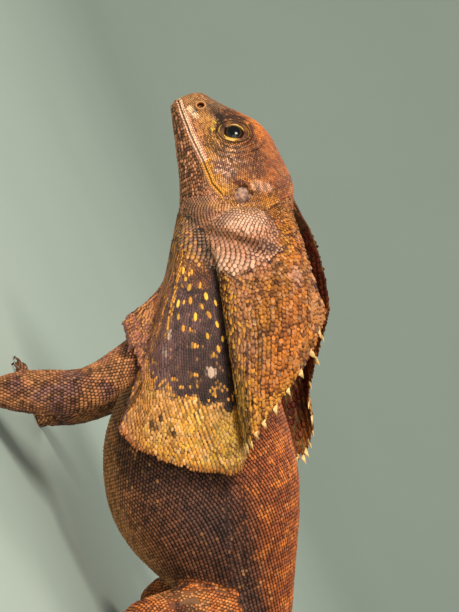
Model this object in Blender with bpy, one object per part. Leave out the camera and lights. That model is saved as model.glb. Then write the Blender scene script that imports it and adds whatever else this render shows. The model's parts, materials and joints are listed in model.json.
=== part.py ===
"""Frilled lizard, standing alert with its frill folded, at life size.

The animal faces -Y, its left side is +X and the floor is Z = 0. Sizes are written in millimetres along
three body directions: forward, up and side (left positive), counted from a point on the floor below the
shoulders. An empty at the end carries every piece, so that the floor's middle is the origin.
"""

import math
import random

import bmesh
import bpy
import numpy as np
from mathutils import Matrix, Vector

MM = 0.001
GAP = 0.3 * MM

# Head, neck and trunk: forward, top, bottom, half width, height of the widest point, fullness
STATIONS = (
    (85.4, 131.5, 124.0, 3.0, 0.45, 2.0),
    (84.2, 135.0, 121.6, 5.6, 0.42, 2.1),
    (80.0, 138.6, 119.6, 8.2, 0.40, 2.3),
    (74.0, 143.2, 117.8, 10.6, 0.36, 2.4),
    (69.0, 147.6, 116.4, 12.4, 0.33, 2.5),
    (62.0, 153.0, 114.2, 15.0, 0.32, 2.5),
    (54.0, 155.8, 111.8, 18.6, 0.36, 2.4),
    (47.0, 156.3, 109.0, 21.8, 0.40, 2.3),
    (40.0, 156.6, 105.6, 23.6, 0.43, 2.2),
    (34.0, 156.8, 103.2, 23.4, 0.46, 2.2),
    (28.0, 155.6, 101.0, 21.6, 0.48, 2.1),
    (18.0, 150.0, 96.0, 19.2, 0.50, 2.0),
    (5.0, 140.0, 86.0, 19.6, 0.50, 2.0),
    (-8.0, 131.0, 69.0, 23.5, 0.50, 2.0),
    (-22.0, 123.0, 50.0, 29.5, 0.48, 2.1),
    (-35.0, 117.0, 37.0, 34.5, 0.47, 2.1),
    (-50.0, 113.0, 28.8, 38.0, 0.46, 2.1),
    (-68.0, 110.5, 24.2, 39.5, 0.45, 2.1),
    (-85.0, 107.0, 25.4, 38.5, 0.46, 2.1),
    (-100.0, 101.0, 30.6, 34.5, 0.48, 2.1),
    (-115.0, 93.2, 38.0, 28.5, 0.50, 2.1),
    (-130.0, 85.0, 44.5, 22.5, 0.52, 2.1),
    (-150.0, 74.5, 46.5, 15.5, 0.50, 2.0),
)
BODY_SIDES = 24
HEAD_STEP, NECK_STEP, TRUNK_STEP = 3.4, 5.0, 8.5
HEAD_ENDS, NECK_ENDS = 26.0, -10.0

# Planes that part the trunk: a forward place at a height, and how far it moves forward for each mm down
NAPE = (22.0, 157.0)
NAPE_SLANT = 0.36
NECK_CUT = (-4.0, 120.0)
NECK_CUT_SLANT = -0.30
CHEST_CUT = -56.0
HIP_CUT = -112.0
TRUNK_END = -150.0

# Face
EYE = (60.9, 142.4)
EYE_RADIUS, EYE_SUNK = 5.6, 4.5
LID_HALF_LENGTH, LID_HALF_HEIGHT, LID_THICK = 5.3, 3.8, 1.15
LID_PITCH = math.radians(50)
LID_RISE = 0.35
NOSTRIL = (78.2, 133.8)
NOSTRIL_RADIUS, NOSTRIL_RIM = 1.05, 0.75
NOSTRIL_DEPTH = 3.0
EAR = (34.7, 135.4)
EAR_RADIUS, EAR_DEPTH, DRUM_THICK = 3.7, 1.9, 0.8
EAR_RIM = 0.9
MOUTH_LINE = ((92.0, 125.4), (80.0, 125.0), (68.0, 124.6), (56.0, 125.4), (44.0, 125.4), (37.6, 127.6))
JAW_REAR_FOOT = (46.0, 96.0)
LIP_THICK = 0.9

# Tail: share of its length, half width, half height
TAIL_LENGTH = 438.0
TAIL_PROFILE = (
    (0.0, 15.5, 14.0),
    (0.05, 14.0, 13.2),
    (0.12, 12.2, 12.0),
    (0.25, 9.4, 9.2),
    (0.45, 6.6, 6.4),
    (0.70, 4.1, 3.9),
    (0.90, 2.4, 2.2),
    (1.0, 1.1, 1.0),
)
TAIL_DROP = 104.0
TAIL_SWING = 46.0
TAIL_SIDES, TAIL_STEP = 14, 9.0
TAIL_PARTS = 5
FLAT_DEPTH = 0.45

# Legs: forward, up, side of each joint of the left leg, and what the right leg's feet are moved by
FORE_JOINTS = ((-3.0, 88.0, 10.0), (-16.6, 44.0, 43.0), (0.5, 8.0, 54.0))
HIND_JOINTS = ((-127.0, 64.0, 8.0), (-112.5, 17.5, 44.0), (-158.0, 9.8, 62.0))
RIGHT_FORE_SHIFT, RIGHT_HIND_SHIFT = -20.0, -9.0
FORE_RADII = ((9.0, 9.5), (7.6, 7.4), (8.2, 7.8), (9.6, 8.6), (8.2, 7.2), (5.6, 5.0))
HIND_RADII = ((16.5, 15.0), (13.5, 12.0), (10.0, 9.5), (9.6, 8.6), (7.4, 6.6), (6.0, 5.4))
LEG_SIDES = 14
JOINT_BEND = 5
BEND_SHARE = 0.26
BEND_SHIFT = 0.25

# Hands and feet: how far each turns outwards, palm length, width and height, then each digit's
# length, spread and thickness, from the inner one
HAND_TURN, FOOT_TURN = math.radians(18), math.radians(38)
PALM, SOLE = (13.0, 13.0, 7.4), (21.0, 12.5, 8.0)
FINGERS = ((9.0, 52, 1.55), (14.0, 27, 1.7), (18.0, 6, 1.75), (18.5, -15, 1.75), (12.5, -46, 1.6))
TOES = ((8.5, 42, 1.6), (14.0, 22, 1.75), (21.0, 7, 1.9), (28.0, -9, 1.95), (15.0, -38, 1.7))
PALM_SHAPE = ((-0.22, 0.62, 0.7), (0.1, 0.9, 1.0), (0.45, 1.0, 0.85), (0.85, 1.0, 0.58), (1.04, 0.78, 0.42))
CLAW_LENGTH = 4.8
DIGIT_SIDES = 5
CLAW_SIDES = 5

# The folded frill's left half as ribs that run from the neck to the free edge, in order from the middle
# of the throat up to the nape. Each: height of its root; forward, up, side of its tip; how far its
# middle stands out sideways, and how far up; how far forward and up the right lobe's tip is moved; how
# fully it follows the throat before it turns out over the shoulder.
RIBS = (
    (101.0, (6.4, 81.9, 0.0), 0.0, 0.0, (0, 0), 0.0),
    (105.0, (7.0, 78.5, 14.0), 1.5, 0.0, (0, 0), 1.0),
    (107.0, (5.5, 68.4, 35.0), 3.0, 1.0, (0, 0), 1.0),
    (108.5, (-9.0, 66.5, 39.5), 5.0, 1.0, (0, 0), 0.9),
    (110.0, (-22.2, 65.2, 42.5), 9.0, 2.0, (0, 0), 0.5),
    (111.0, (-35.2, 48.7, 42.5), 8.5, 3.0, (0, 0), 0.2),
    (112.5, (-48.8, 54.6, 45.0), 12.0, 0.0, (0, 0), 0.0),
    (114.5, (-60.3, 66.5, 46.5), 12.0, -1.0, (0, 0), 0.0),
    (116.5, (-72.4, 87.1, 45.0), 10.0, 1.0, (0, 0), 0.0),
    (118.0, (-62.5, 95.8, 39.0), 3.0, 3.0, (-6, 3), 0.0),
    (119.5, (-64.5, 94.5, 47.0), 11.0, 1.0, (-20, 11), 0.0),
    (123.5, (-62.0, 99.5, 50.5), 14.5, 3.5, (-20, 11), 0.0),
    (130.0, (-56.5, 109.0, 48.5), 15.0, 4.0, (-17, 8), 0.0),
    (139.0, (-48.0, 124.0, 43.0), 13.5, 4.0, (-12, -3), 0.0),
    (147.0, (-37.0, 138.5, 36.0), 10.0, 3.0, (-5, -4), 0.0),
    (153.5, (-25.5, 148.0, 27.0), 6.0, 3.0, (-1, -1), 0.0),
)
HOLD_POWER = 8.0
FRILL_THICK, FRILL_CLEAR, FRILL_GUARD_REACH = 1.5, 0.8, 1.0
FRILL_COLUMNS_PER_RIB = 2
FRILL_ROWS = 9
ROOT_BACK = 1.2
NAPE_LEAD, NAPE_LEAD_FROM, NAPE_LEAD_OVER = 6.0, 138.0, 16.0
ROOT_SUNK = 4.0
PLEAT_DEPTH = 0.9
SERRATION = 1.3
JOWL = (17.5, 127.0, 19.5)
JOWL_RADII = (14.0, 14.5, 16.5)
SPINE_LENGTH, SPINE_HALF_WIDTH = 4.4, 2.3
SPINE_RIBS = (10.2, 10.75, 11.3, 11.85, 12.4, 12.95, 13.5, 14.05)

COLOURS = {
    "head": (0.47, 0.27, 0.12),
    "throat": (0.34, 0.20, 0.13),
    "frill": (0.55, 0.30, 0.10),
    "body": (0.26, 0.13, 0.08),
    "limb": (0.38, 0.21, 0.12),
    "tail": (0.30, 0.17, 0.10),
    "eye": (0.02, 0.015, 0.01),
    "drum": (0.30, 0.20, 0.20),
}


def at(forward, up, side=0.0):
    """A place on the animal as a point in metres."""
    return Vector((side, -forward, up)) * MM


def smooth_table(table, where):
    """The table's columns at where, on a smooth curve through its rows; the first column is the place."""
    rows = np.array(sorted(table), float)
    places, values = rows[:, 0], rows[:, 1:]
    steps = np.diff(places)
    slopes = np.diff(values, axis=0) / steps[:, None]
    tangents = np.vstack([slopes[:1], (slopes[1:] + slopes[:-1]) / 2, slopes[-1:]])
    i = int(np.clip(np.searchsorted(places, where) - 1, 0, len(places) - 2))
    t = (where - places[i]) / steps[i]
    a, b = values[i], values[i + 1]
    ta, tb = tangents[i] * steps[i], tangents[i + 1] * steps[i]
    return a + t * ta + t * t * (3 * (b - a) - 2 * ta - tb) + t**3 * (2 * (a - b) + ta + tb)


def trunk_ring(forward, grow=0.0):
    """One upright ring round the head or trunk, from the top and down the left side."""
    top, bottom, half, widest, fullness = smooth_table(STATIONS, forward)
    top, bottom, half = top + grow, bottom - grow, half + grow
    middle = bottom + (top - bottom) * widest
    ring = []
    for k in range(BODY_SIDES):
        turn = 2 * math.pi * k / BODY_SIDES
        across, rise = math.sin(turn), math.cos(turn)
        side = half * math.copysign(abs(across) ** (2 / fullness), across)
        reach = top - middle if rise > 0 else middle - bottom
        up = middle + reach * math.copysign(abs(rise) ** (2 / fullness), rise)
        ring.append(at(forward, up, side))
    return ring


def half_width_at(forward, up):
    """How far the trunk's side lies from the middle, at this place and height."""
    top, bottom, half, widest, fullness = smooth_table(STATIONS, forward)
    middle = bottom + (top - bottom) * widest
    reach = top - middle if up > middle else middle - bottom
    share = min(1.0, abs(up - middle) / reach)
    return half * (1 - share**fullness) ** (1 / fullness)


def to_mesh(bm, name):
    """The bmesh as an object that is not yet in its place in the tree."""
    bmesh.ops.recalc_face_normals(bm, faces=bm.faces)
    mesh = bpy.data.meshes.new(name)
    bm.to_mesh(mesh)
    bm.free()
    obj = bpy.data.objects.new(name, mesh)
    bpy.context.scene.collection.objects.link(obj)
    return obj


def loft(rings, name):
    """A closed body through rings of points, by drawing the last ring's edges on to the next."""
    bm = bmesh.new()
    loop = bmesh.ops.create_circle(bm, segments=len(rings[0]), radius=1.0)["verts"]
    first = list(loop)
    edges = list(bm.edges)
    for vert, place in zip(loop, rings[0]):
        vert.co = place
    for ring in rings[1:]:
        grown = bmesh.ops.extrude_edge_only(bm, edges=edges)["geom"]
        fresh = {g for g in grown if isinstance(g, bmesh.types.BMVert)}
        loop = [next(e.other_vert(v) for e in v.link_edges if e.other_vert(v) in fresh) for v in loop]
        edges = [
            g for g in grown if isinstance(g, bmesh.types.BMEdge) and fresh.issuperset(g.verts)
        ]
        for vert, place in zip(loop, ring):
            vert.co = place
    bm.faces.new(first)
    bm.faces.new(loop)
    return to_mesh(bm, name)


def applied(obj):
    """The object with its modifiers worked into its mesh."""
    graph = bpy.context.evaluated_depsgraph_get()
    result = bpy.data.meshes.new_from_object(obj.evaluated_get(graph))
    obj.modifiers.clear()
    obj.data = result
    return obj


def boolean(obj, others, operation, solver="MANIFOLD"):
    """Joins, cuts or meets obj with closed helper objects, which are then removed."""
    helpers = bpy.data.collections.new("helpers")
    for other in others:
        helpers.objects.link(other)
    modifier = obj.modifiers.new("boolean", "BOOLEAN")
    modifier.operation = operation
    modifier.solver = solver
    modifier.operand_type = "COLLECTION"
    modifier.collection = helpers
    applied(obj)
    for other in others:
        bpy.data.objects.remove(other)
    bpy.data.collections.remove(helpers)
    return obj


def keep_largest(obj):
    """Keeps only the closed surface that spans the most."""
    bm = bmesh.new()
    bm.from_mesh(obj.data)
    left, parts = set(bm.verts), []
    while left:
        found, edge = set(), [next(iter(left))]
        while edge:
            vert = edge.pop()
            if vert not in found:
                found.add(vert)
                edge.extend(e.other_vert(vert) for e in vert.link_edges)
        left -= found
        parts.append(found)
    parts.sort(key=len)
    for part in parts[:-1]:
        bmesh.ops.delete(bm, geom=list(part), context="VERTS")
    bm.to_mesh(obj.data)
    bm.free()
    return obj


def copy_of(obj):
    """A second object with its own copy of the mesh."""
    twin = obj.copy()
    twin.data = obj.data.copy()
    bpy.context.scene.collection.objects.link(twin)
    return twin


def cut_off(obj, point, away):
    """Removes what lies on the side of the plane that away points to, and closes the cut."""
    bm = bmesh.new()
    bm.from_mesh(obj.data)
    bmesh.ops.bisect_plane(
        bm,
        geom=bm.verts[:] + bm.edges[:] + bm.faces[:],
        plane_co=point,
        plane_no=away,
        clear_outer=True,
        dist=1e-7,
    )
    bmesh.ops.holes_fill(bm, edges=[e for e in bm.edges if e.is_boundary])
    bmesh.ops.recalc_face_normals(bm, faces=bm.faces)
    bm.to_mesh(obj.data)
    bm.free()
    return obj


def slice_between(obj, front, rear, name):
    """A copy of obj between two planes, each a point and the direction that leaves the slice."""
    piece = copy_of(obj)
    piece.name = name
    for plane in (front, rear):
        if plane:
            point, away = plane
            cut_off(piece, point + away * (-GAP / 2), away)
    return piece


def ball(centre, radii, name, segments=14, rings=8):
    """An egg-shaped ball at a place, with its radii in mm along side, forward and up."""
    bm = bmesh.new()
    bmesh.ops.create_uvsphere(bm, u_segments=segments, v_segments=rings, radius=1.0)
    bmesh.ops.scale(bm, verts=bm.verts, vec=Vector(radii) * MM)
    bmesh.ops.translate(bm, verts=bm.verts, vec=centre)
    return to_mesh(bm, name)


def block(centre):
    """A cube 0.2 m across, as a cutter with flat sides."""
    bm = bmesh.new()
    bmesh.ops.create_cube(bm, size=0.2)
    bmesh.ops.translate(bm, verts=bm.verts, vec=centre)
    return to_mesh(bm, "block")


def ring_bar(centre, half_length, half_height, thick, normal, pitch, name, around=16, sides=5):
    """A closed oval ring, such as a lid or a rim, that faces along normal."""
    normal = normal.normalized()
    ahead = (Vector((0, -1, 0)) - normal * normal.dot(Vector((0, -1, 0)))).normalized()
    above = ahead.cross(normal)
    if above.z < 0:
        above.negate()
    turned = Matrix.Rotation(pitch, 3, normal)
    ahead, above = turned @ ahead, turned @ above
    bm = bmesh.new()
    rows = []
    for k in range(around):
        turn = 2 * math.pi * k / around
        out = ahead * math.cos(turn) * half_length + above * math.sin(turn) * half_height
        middle = centre + out * MM
        outward = out.normalized()
        rows.append(
            [
                bm.verts.new(
                    middle
                    + outward * math.cos(2 * math.pi * j / sides) * thick * MM
                    + normal * math.sin(2 * math.pi * j / sides) * thick * MM
                )
                for j in range(sides)
            ]
        )
    for k in range(around):
        for j in range(sides):
            a, b = rows[k], rows[(k + 1) % around]
            bm.faces.new((a[j], b[j], b[(j + 1) % sides], a[(j + 1) % sides]))
    return to_mesh(bm, name)


def surface_frame(forward, up, mirror):
    """A point on the head's side and the direction that it faces."""
    step = 1.0
    here = at(forward, up, half_width_at(forward, up))
    ahead = at(forward + step, up, half_width_at(forward + step, up)) - here
    above = at(forward, up + step, half_width_at(forward, up + step)) - here
    normal = above.cross(ahead).normalized()
    if normal.x < 0:
        normal.negate()
    return Vector((here.x * mirror, here.y, here.z)), Vector((normal.x * mirror, normal.y, normal.z))


def stick(start, end, radius, name, sides=12):
    """A straight round bar between two points."""
    axis = end - start
    bm = bmesh.new()
    bmesh.ops.create_cone(
        bm,
        cap_ends=True,
        segments=sides,
        radius1=radius * MM,
        radius2=radius * MM,
        depth=axis.length,
    )
    turn = axis.to_track_quat("Z", "Y").to_matrix().to_4x4()
    bmesh.ops.transform(bm, matrix=Matrix.Translation((start + end) / 2) @ turn, verts=bm.verts)
    return to_mesh(bm, name)


def jaw_prism(grow, name):
    """The block below the line of the mouth, which parts the lower jaw from the head."""
    half = 40.0
    outline = [(f - (grow if i == len(MOUTH_LINE) - 1 else 0), u + grow) for i, (f, u) in enumerate(MOUTH_LINE)]
    outline += [(JAW_REAR_FOOT[0] - grow, JAW_REAR_FOOT[1]), (MOUTH_LINE[0][0], JAW_REAR_FOOT[1])]
    rings = [[at(f, u, side) for f, u in outline] for side in (-half, half)]
    return loft(rings, name)


def lip_bar(mirror, below):
    """A low ridge along one side of the mouth, on the upper or the lower jaw."""
    rings = []
    first, last, steps = 81.0, 40.0, 12
    for k in range(steps + 1):
        forward = first + (last - first) * k / steps
        line = np.interp(forward, *zip(*sorted(MOUTH_LINE)))
        up = line + (-1.5 if below else 1.7)
        thick = LIP_THICK * (0.5 + 0.5 * math.sin(math.pi * min(1.0, (k + 1) / 5)) if k < 3 else 1.0)
        centre = at(forward, up, (half_width_at(forward, up) - 0.15) * mirror)
        rings.append(
            [
                centre + Vector((math.cos(t) * thick * MM * 0.8, 0, math.sin(t) * thick * MM * 1.5))
                for t in (2 * math.pi * j / 5 for j in range(5))
            ]
        )
    return loft(rings, "lip")


def build_head(body):
    """The skull with its lids, nostrils, ears and lips, the lower jaw, the eyes and the eardrums."""
    head, jaw = copy_of(body), copy_of(body)
    head.name, jaw.name = "head", "lower_jaw"
    added, taken, pieces = [], [], []
    for mirror, side in ((1, "left"), (-1, "right")):
        place, normal = surface_frame(*EYE, mirror)
        centre = place - normal * EYE_SUNK * MM
        lid_centre = place + normal * LID_RISE * MM
        pitch = LID_PITCH * mirror
        added.append(
            ring_bar(lid_centre, LID_HALF_LENGTH, LID_HALF_HEIGHT, LID_THICK, normal, pitch, "lid")
        )
        taken.append(ball(centre, [EYE_RADIUS + 0.3] * 3, "socket"))
        pieces.append(ball(centre, [EYE_RADIUS] * 3, "eye_" + side))
        place, normal = surface_frame(*NOSTRIL, mirror)
        rim = NOSTRIL_RADIUS + 0.4
        added.append(ring_bar(place, rim, rim, NOSTRIL_RIM, normal, 0, "rim", 8))
        inner, outer = place - normal * NOSTRIL_DEPTH * MM, place + normal * 3 * MM
        taken.append(stick(inner, outer, NOSTRIL_RADIUS, "hole", 8))
        place, normal = surface_frame(*EAR, mirror)
        rim = EAR_RADIUS + 0.3
        added.append(ring_bar(place, rim, rim, EAR_RIM, normal, 0, "rim", 12))
        inner, outer = place - normal * EAR_DEPTH * MM, place + normal * 3 * MM
        taken.append(stick(inner, outer, EAR_RADIUS, "cup", 12))
        base = inner + normal * GAP
        pieces.append(stick(base, base + normal * DRUM_THICK * MM, EAR_RADIUS - 0.3, "eardrum_" + side, 12))
        added.append(lip_bar(mirror, False))
    boolean(head, added, "UNION")
    boolean(head, taken + [jaw_prism(0.3, "prism")], "DIFFERENCE")
    boolean(jaw, [lip_bar(mirror, True) for mirror in (1, -1)], "UNION")
    boolean(jaw, [jaw_prism(0.0, "prism")], "INTERSECT")
    away = Vector((0, 1, -NAPE_SLANT)).normalized()
    for piece in (head, jaw):
        cut_off(piece, at(*NAPE) + away * (-GAP / 2), away)
    return [keep_largest(head), keep_largest(jaw)], pieces


def frames_along(points, up_hint):
    """The direction of travel and two cross directions at each point of a path."""
    frames = []
    for i, point in enumerate(points):
        before = points[max(0, i - 1)]
        after = points[min(len(points) - 1, i + 1)]
        ahead = (after - before).normalized()
        across = ahead.cross(up_hint).normalized()
        frames.append((point, ahead, across, across.cross(ahead)))
    return frames


def tube_ring(frame, half_width, half_height, sides, start=0.0):
    """A ring of a tube round one point of its path."""
    point, _, across, above = frame
    return [
        point
        + across * math.sin(2 * math.pi * (k + start) / sides) * half_width * MM
        + above * math.cos(2 * math.pi * (k + start) / sides) * half_height * MM
        for k in range(sides)
    ]


def parted_tube(frames, rings, cuts, names):
    """Tubes through stretches of the rings, that end face to face with the gap between them."""
    pieces = []
    for name, first, last in zip(names, cuts[:-1], cuts[1:]):
        stretch = [list(r) for r in rings[first : last + 1]]
        if first > 0:
            stretch[0] = [p + frames[first][1] * GAP / 2 for p in stretch[0]]
        if last < len(rings) - 1:
            stretch[-1] = [p - frames[last][1] * GAP / 2 for p in stretch[-1]]
        pieces.append(loft(stretch, name))
    return pieces


def build_tail():
    """The tail, in lengths: down from the hips to the floor and on along it in a slow bend."""
    top, bottom = smooth_table(STATIONS, TRUNK_END)[:2]
    root_height = (top + bottom) / 2
    count = round(TAIL_LENGTH / TAIL_STEP)
    sizes = [smooth_table(TAIL_PROFILE, k / count) for k in range(count + 1)]
    points = []
    for k, (_, half_height) in enumerate(sizes):
        run = TAIL_LENGTH * k / count
        drop = min(1.0, run / TAIL_DROP)
        ease = drop * drop * (3 - 2 * drop)
        rest = half_height - FLAT_DEPTH
        swing = TAIL_SWING * math.sin(math.pi * max(0.0, run - 40) / TAIL_LENGTH * 1.25)
        up = root_height + (rest - root_height) * ease
        points.append((run, up, swing))
    places, forward = [], TRUNK_END - GAP / MM
    for i, (run, up, side) in enumerate(points):
        if i:
            before = points[i - 1]
            step = run - before[0]
            rise = up - before[1]
            sway = side - before[2]
            forward -= math.sqrt(max(step * step - rise * rise - sway * sway, 1.0))
        places.append(at(forward, up, side))
    frames = frames_along(places, Vector((0, 0, 1)))
    frames[0] = (places[0], Vector((0, 1, 0)), Vector((1, 0, 0)), Vector((0, 0, 1)))
    rings = [tube_ring(f, w, h, TAIL_SIDES) for f, (w, h) in zip(frames, sizes)]
    cuts = [round(count * (k / TAIL_PARTS) ** 1.15) for k in range(TAIL_PARTS + 1)]
    names = [f"tail_{k + 1}" for k in range(TAIL_PARTS)]
    return [cut_off(p, Vector((0, 0, 0)), Vector((0, 0, -1))) for p in parted_tube(frames, rings, cuts, names)]


def leg_path(joints, radii, mirror, shift):
    """Points and radii down a leg, with each joint rounded."""
    a, b, c = (Vector((f, u, s)) for f, u, s in joints)
    b.x += shift * BEND_SHIFT
    c.x += shift
    stations = []
    for k in range(JOINT_BEND):
        t = k / JOINT_BEND
        stations.append((a.lerp(b, t * (1 - BEND_SHARE)), t))
    for k in range(JOINT_BEND):
        t = k / (JOINT_BEND - 1)
        before, after = a.lerp(b, 1 - BEND_SHARE), b.lerp(c, BEND_SHARE)
        stations.append((before.lerp(b, t).lerp(b.lerp(after, t), t), 1 + t * BEND_SHARE))
    for k in range(1, JOINT_BEND):
        t = k / (JOINT_BEND - 1)
        along = BEND_SHARE + (1 - BEND_SHARE) * t
        stations.append((b.lerp(c, along), 1 + along))
    table = [(t, *r) for t, r in zip((0.0, 0.5, 0.9, 1.35, 1.8, 2.0), radii)]
    points = [at(p.x, p.y, p.z * mirror) for p, _ in stations]
    return points, [smooth_table(table, t) for _, t in stations]


def digit(root, heading, length, thick, name):
    """A finger or toe with its claw: low arch, pad on the floor, hooked tip."""
    pad = thick - FLAT_DEPTH
    flow = ((-0.22, 3.4, 1.1), (0.35, 2.6 + thick * 0.2, 1.0), (0.75, thick + 0.3, 0.92), (1.0, pad, 0.9))
    rings = []
    for share, up, fat in flow:
        centre = root + heading * length * share * MM
        centre.z = up * MM
        frame = (centre, heading, heading.cross(Vector((0, 0, 1))), Vector((0, 0, 1)))
        rings.append(tube_ring(frame, thick * fat, thick * fat, DIGIT_SIDES, 0.5))
    for share, up, fat in ((0.12, pad + 0.5, 0.68), (0.5, pad + 0.75, 0.42), (1.0, 0.35, 0.13)):
        centre = root + heading * (length + CLAW_LENGTH * share) * MM
        centre.z = up * MM
        frame = (centre, heading, heading.cross(Vector((0, 0, 1))), Vector((0, 0, 1)))
        rings.append(tube_ring(frame, thick * fat, thick * fat, DIGIT_SIDES, 0.5))
    return loft(rings, name)


def build_paw(name, wrist, turn, palm, digits, mirror, radii):
    """A hand or foot: the leg's end is rounded off on a palm that carries the digits."""
    length, width, height = palm
    start, travel = wrist[0], wrist[1]
    heading = Vector((math.sin(turn) * mirror, -math.cos(turn), 0))
    outwards = Vector((math.cos(turn) * mirror, math.sin(turn), 0))
    rings = []
    for reach, size in ((0.0, 1.0), (0.45, 0.94), (0.85, 0.62)):
        ring = tube_ring(wrist, radii[0] * size, radii[1] * size, LEG_SIDES)
        rings.append([p + travel * (GAP / 2 + reach * radii[1] * MM) for p in ring])
    paw = loft(rings, name)
    rings = []
    for share, wide, high in PALM_SHAPE:
        centre = start + heading * length * share * MM
        half_height = height * high / 2
        centre.z = (half_height - FLAT_DEPTH) * MM
        frame = (centre, heading, heading.cross(Vector((0, 0, 1))), Vector((0, 0, 1)))
        rings.append(tube_ring(frame, width * wide / 2, half_height, LEG_SIDES))
    parts = [loft(rings, "palm")]
    for size, spread, thick in digits:
        angle = turn - math.radians(spread)
        aim = Vector((math.sin(angle) * mirror, -math.cos(angle), 0))
        root = start + heading * length * 0.8 * MM
        root += outwards * math.sin(math.radians(-spread)) * width * 0.55 * MM
        parts.append(digit(root, aim, size, thick, "digit"))
    boolean(paw, parts, "UNION")
    return boolean(paw, [block(Vector((start.x, start.y, -0.1)))], "DIFFERENCE")


def build_leg(kind, joints, radii, mirror, side, shift):
    """One leg in three nodes, its root cut to the trunk that it grows from and clear of the frill."""
    upper, lower, end = ("upper_arm", "forearm", "hand") if kind == "fore" else ("thigh", "shin", "foot")
    points, sizes = leg_path(joints, radii, mirror, shift)
    frames = frames_along(points, Vector((mirror, -0.2, 0.3)))
    rings = [tube_ring(f, w, h, LEG_SIDES) for f, (w, h) in zip(frames, sizes)]
    bend = JOINT_BEND + JOINT_BEND // 2
    names = [f"{upper}_{side}", f"{lower}_{side}"]
    pieces = parted_tube(frames, rings, [0, bend, len(rings) - 1], names)
    shortened = [p - frames[-1][1] * GAP / 2 for p in rings[-1]]
    for vert, place in zip(pieces[1].data.vertices[-LEG_SIDES:], shortened):
        vert.co = place
    boolean(pieces[0], [whole_trunk(0.3)], "DIFFERENCE")
    if kind == "fore":
        sheet = frill_sheet(mirror, FRILL_THICK + FRILL_CLEAR, "guard", FRILL_GUARD_REACH)
        boolean(pieces[0], [sheet], "DIFFERENCE")
    keep_largest(pieces[0])
    turn, palm, digits = (HAND_TURN, PALM, FINGERS) if kind == "fore" else (FOOT_TURN, SOLE, TOES)
    paw = build_paw(f"{end}_{side}", frames[-1], turn, palm, digits, mirror, sizes[-1])
    guard = [
        tube_ring(f, w + 0.3, h + 0.3, LEG_SIDES) for f, (w, h) in zip(frames[bend:], sizes[bend:])
    ]
    guard[-1] = [p + frames[-1][1] * GAP / 2 for p in guard[-1]]
    boolean(paw, [loft(guard, "guard")], "DIFFERENCE")
    return pieces + [keep_largest(paw)]


def whole_trunk(grow=0.0):
    """Head, neck and trunk as one closed body, grown by some mm where it serves as a cutter."""
    places = list(np.arange(STATIONS[0][0], HEAD_ENDS, -HEAD_STEP))
    places += list(np.arange(places[-1] - HEAD_STEP, NECK_ENDS, -NECK_STEP))
    places += list(np.linspace(places[-1] - TRUNK_STEP, TRUNK_END, 16))
    rings = [trunk_ring(float(f), grow) for f in places]
    if grow:
        rings[0] = [p + Vector((0, -grow * MM, 0)) for p in rings[0]]
    return loft(rings, "trunk")


def rib_point(rib, share, mirror):
    """A point along a rib, from 0 at its root to 1 at its tip."""
    root_up, (tip_forward, tip_up, tip_side), out, rise, moved, hold = rib
    if mirror < 0:
        tip_forward += moved[0]
        tip_up += moved[1]
    root_forward = NAPE[0] + (NAPE[1] - root_up) * NAPE_SLANT - ROOT_BACK
    lead = min(max((root_up - NAPE_LEAD_FROM) / NAPE_LEAD_OVER, 0.0), 1.0)
    root_forward += NAPE_LEAD * lead * lead * (3 - 2 * lead)
    bottom = smooth_table(STATIONS, root_forward)[1]
    root_side = max(0.0, half_width_at(root_forward, max(root_up, bottom)) - ROOT_SUNK) if tip_side else 0.0
    if not tip_side:
        root_up = bottom + ROOT_SUNK
    bulge = 4 * share * (1 - share)
    leave = bulge * share**0.5
    forward = root_forward + (tip_forward - root_forward) * share
    up = root_up + (tip_up - root_up) * share + rise * bulge
    side = root_side + (tip_side - root_side) * share**0.85 + out * leave
    late = (share**HOLD_POWER - share) * hold
    throat_tip = RIBS[0][1]
    forward += (tip_forward - throat_tip[0]) * late
    up += (tip_up - throat_tip[1]) * late
    side += (tip_side - throat_tip[2]) * late
    return np.array((forward, up, side))


def frill_point(a, share, mirror):
    """A point of the folded sheet: a runs over the ribs, share from the neck to the free edge."""
    count = len(RIBS)
    i = min(int(a), count - 2)
    t = a - i
    knots = [rib_point(RIBS[min(max(i + d, 0), count - 1)], share, mirror) for d in (-1, 0, 1, 2)]
    p0, p1, p2, p3 = knots
    return 0.5 * (
        2 * p1 + (p2 - p0) * t + (2 * p0 - 5 * p1 + 4 * p2 - p3) * t * t + (3 * p1 - p0 - 3 * p2 + p3) * t**3
    )


def frill_sheet(mirror, thick, name, reach=1.0):
    """One half of the folded frill as a pleated sheet with a toothed edge, longer where it is a cutter."""
    columns = (len(RIBS) - 1) * FRILL_COLUMNS_PER_RIB
    bm = bmesh.new()
    grid = bmesh.ops.create_grid(bm, x_segments=columns, y_segments=FRILL_ROWS, size=1.0)["verts"]
    for vert in grid:
        column = (vert.co.x + 1) / 2 * columns
        share = (vert.co.y + 1) / 2 * reach
        tooth = (round(column) % 2) * SERRATION if share > 0.999 and reach == 1.0 else 0.0
        forward, up, out = frill_point(column / FRILL_COLUMNS_PER_RIB, share, mirror)
        pleat = (0.5 - round(column) % 2) * PLEAT_DEPTH * share
        out = out + pleat * min(1.0, column / 4) if column > 0.5 else -FRILL_THICK
        vert.co = at(forward - tooth, up, out * mirror)
    bmesh.ops.recalc_face_normals(bm, faces=bm.faces)
    bmesh.ops.triangulate(bm, faces=bm.faces)
    sheet = to_mesh(bm, name)
    solid = sheet.modifiers.new("thickness", "SOLIDIFY")
    solid.thickness = thick * MM
    solid.offset = 0.0
    return applied(sheet)


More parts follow.
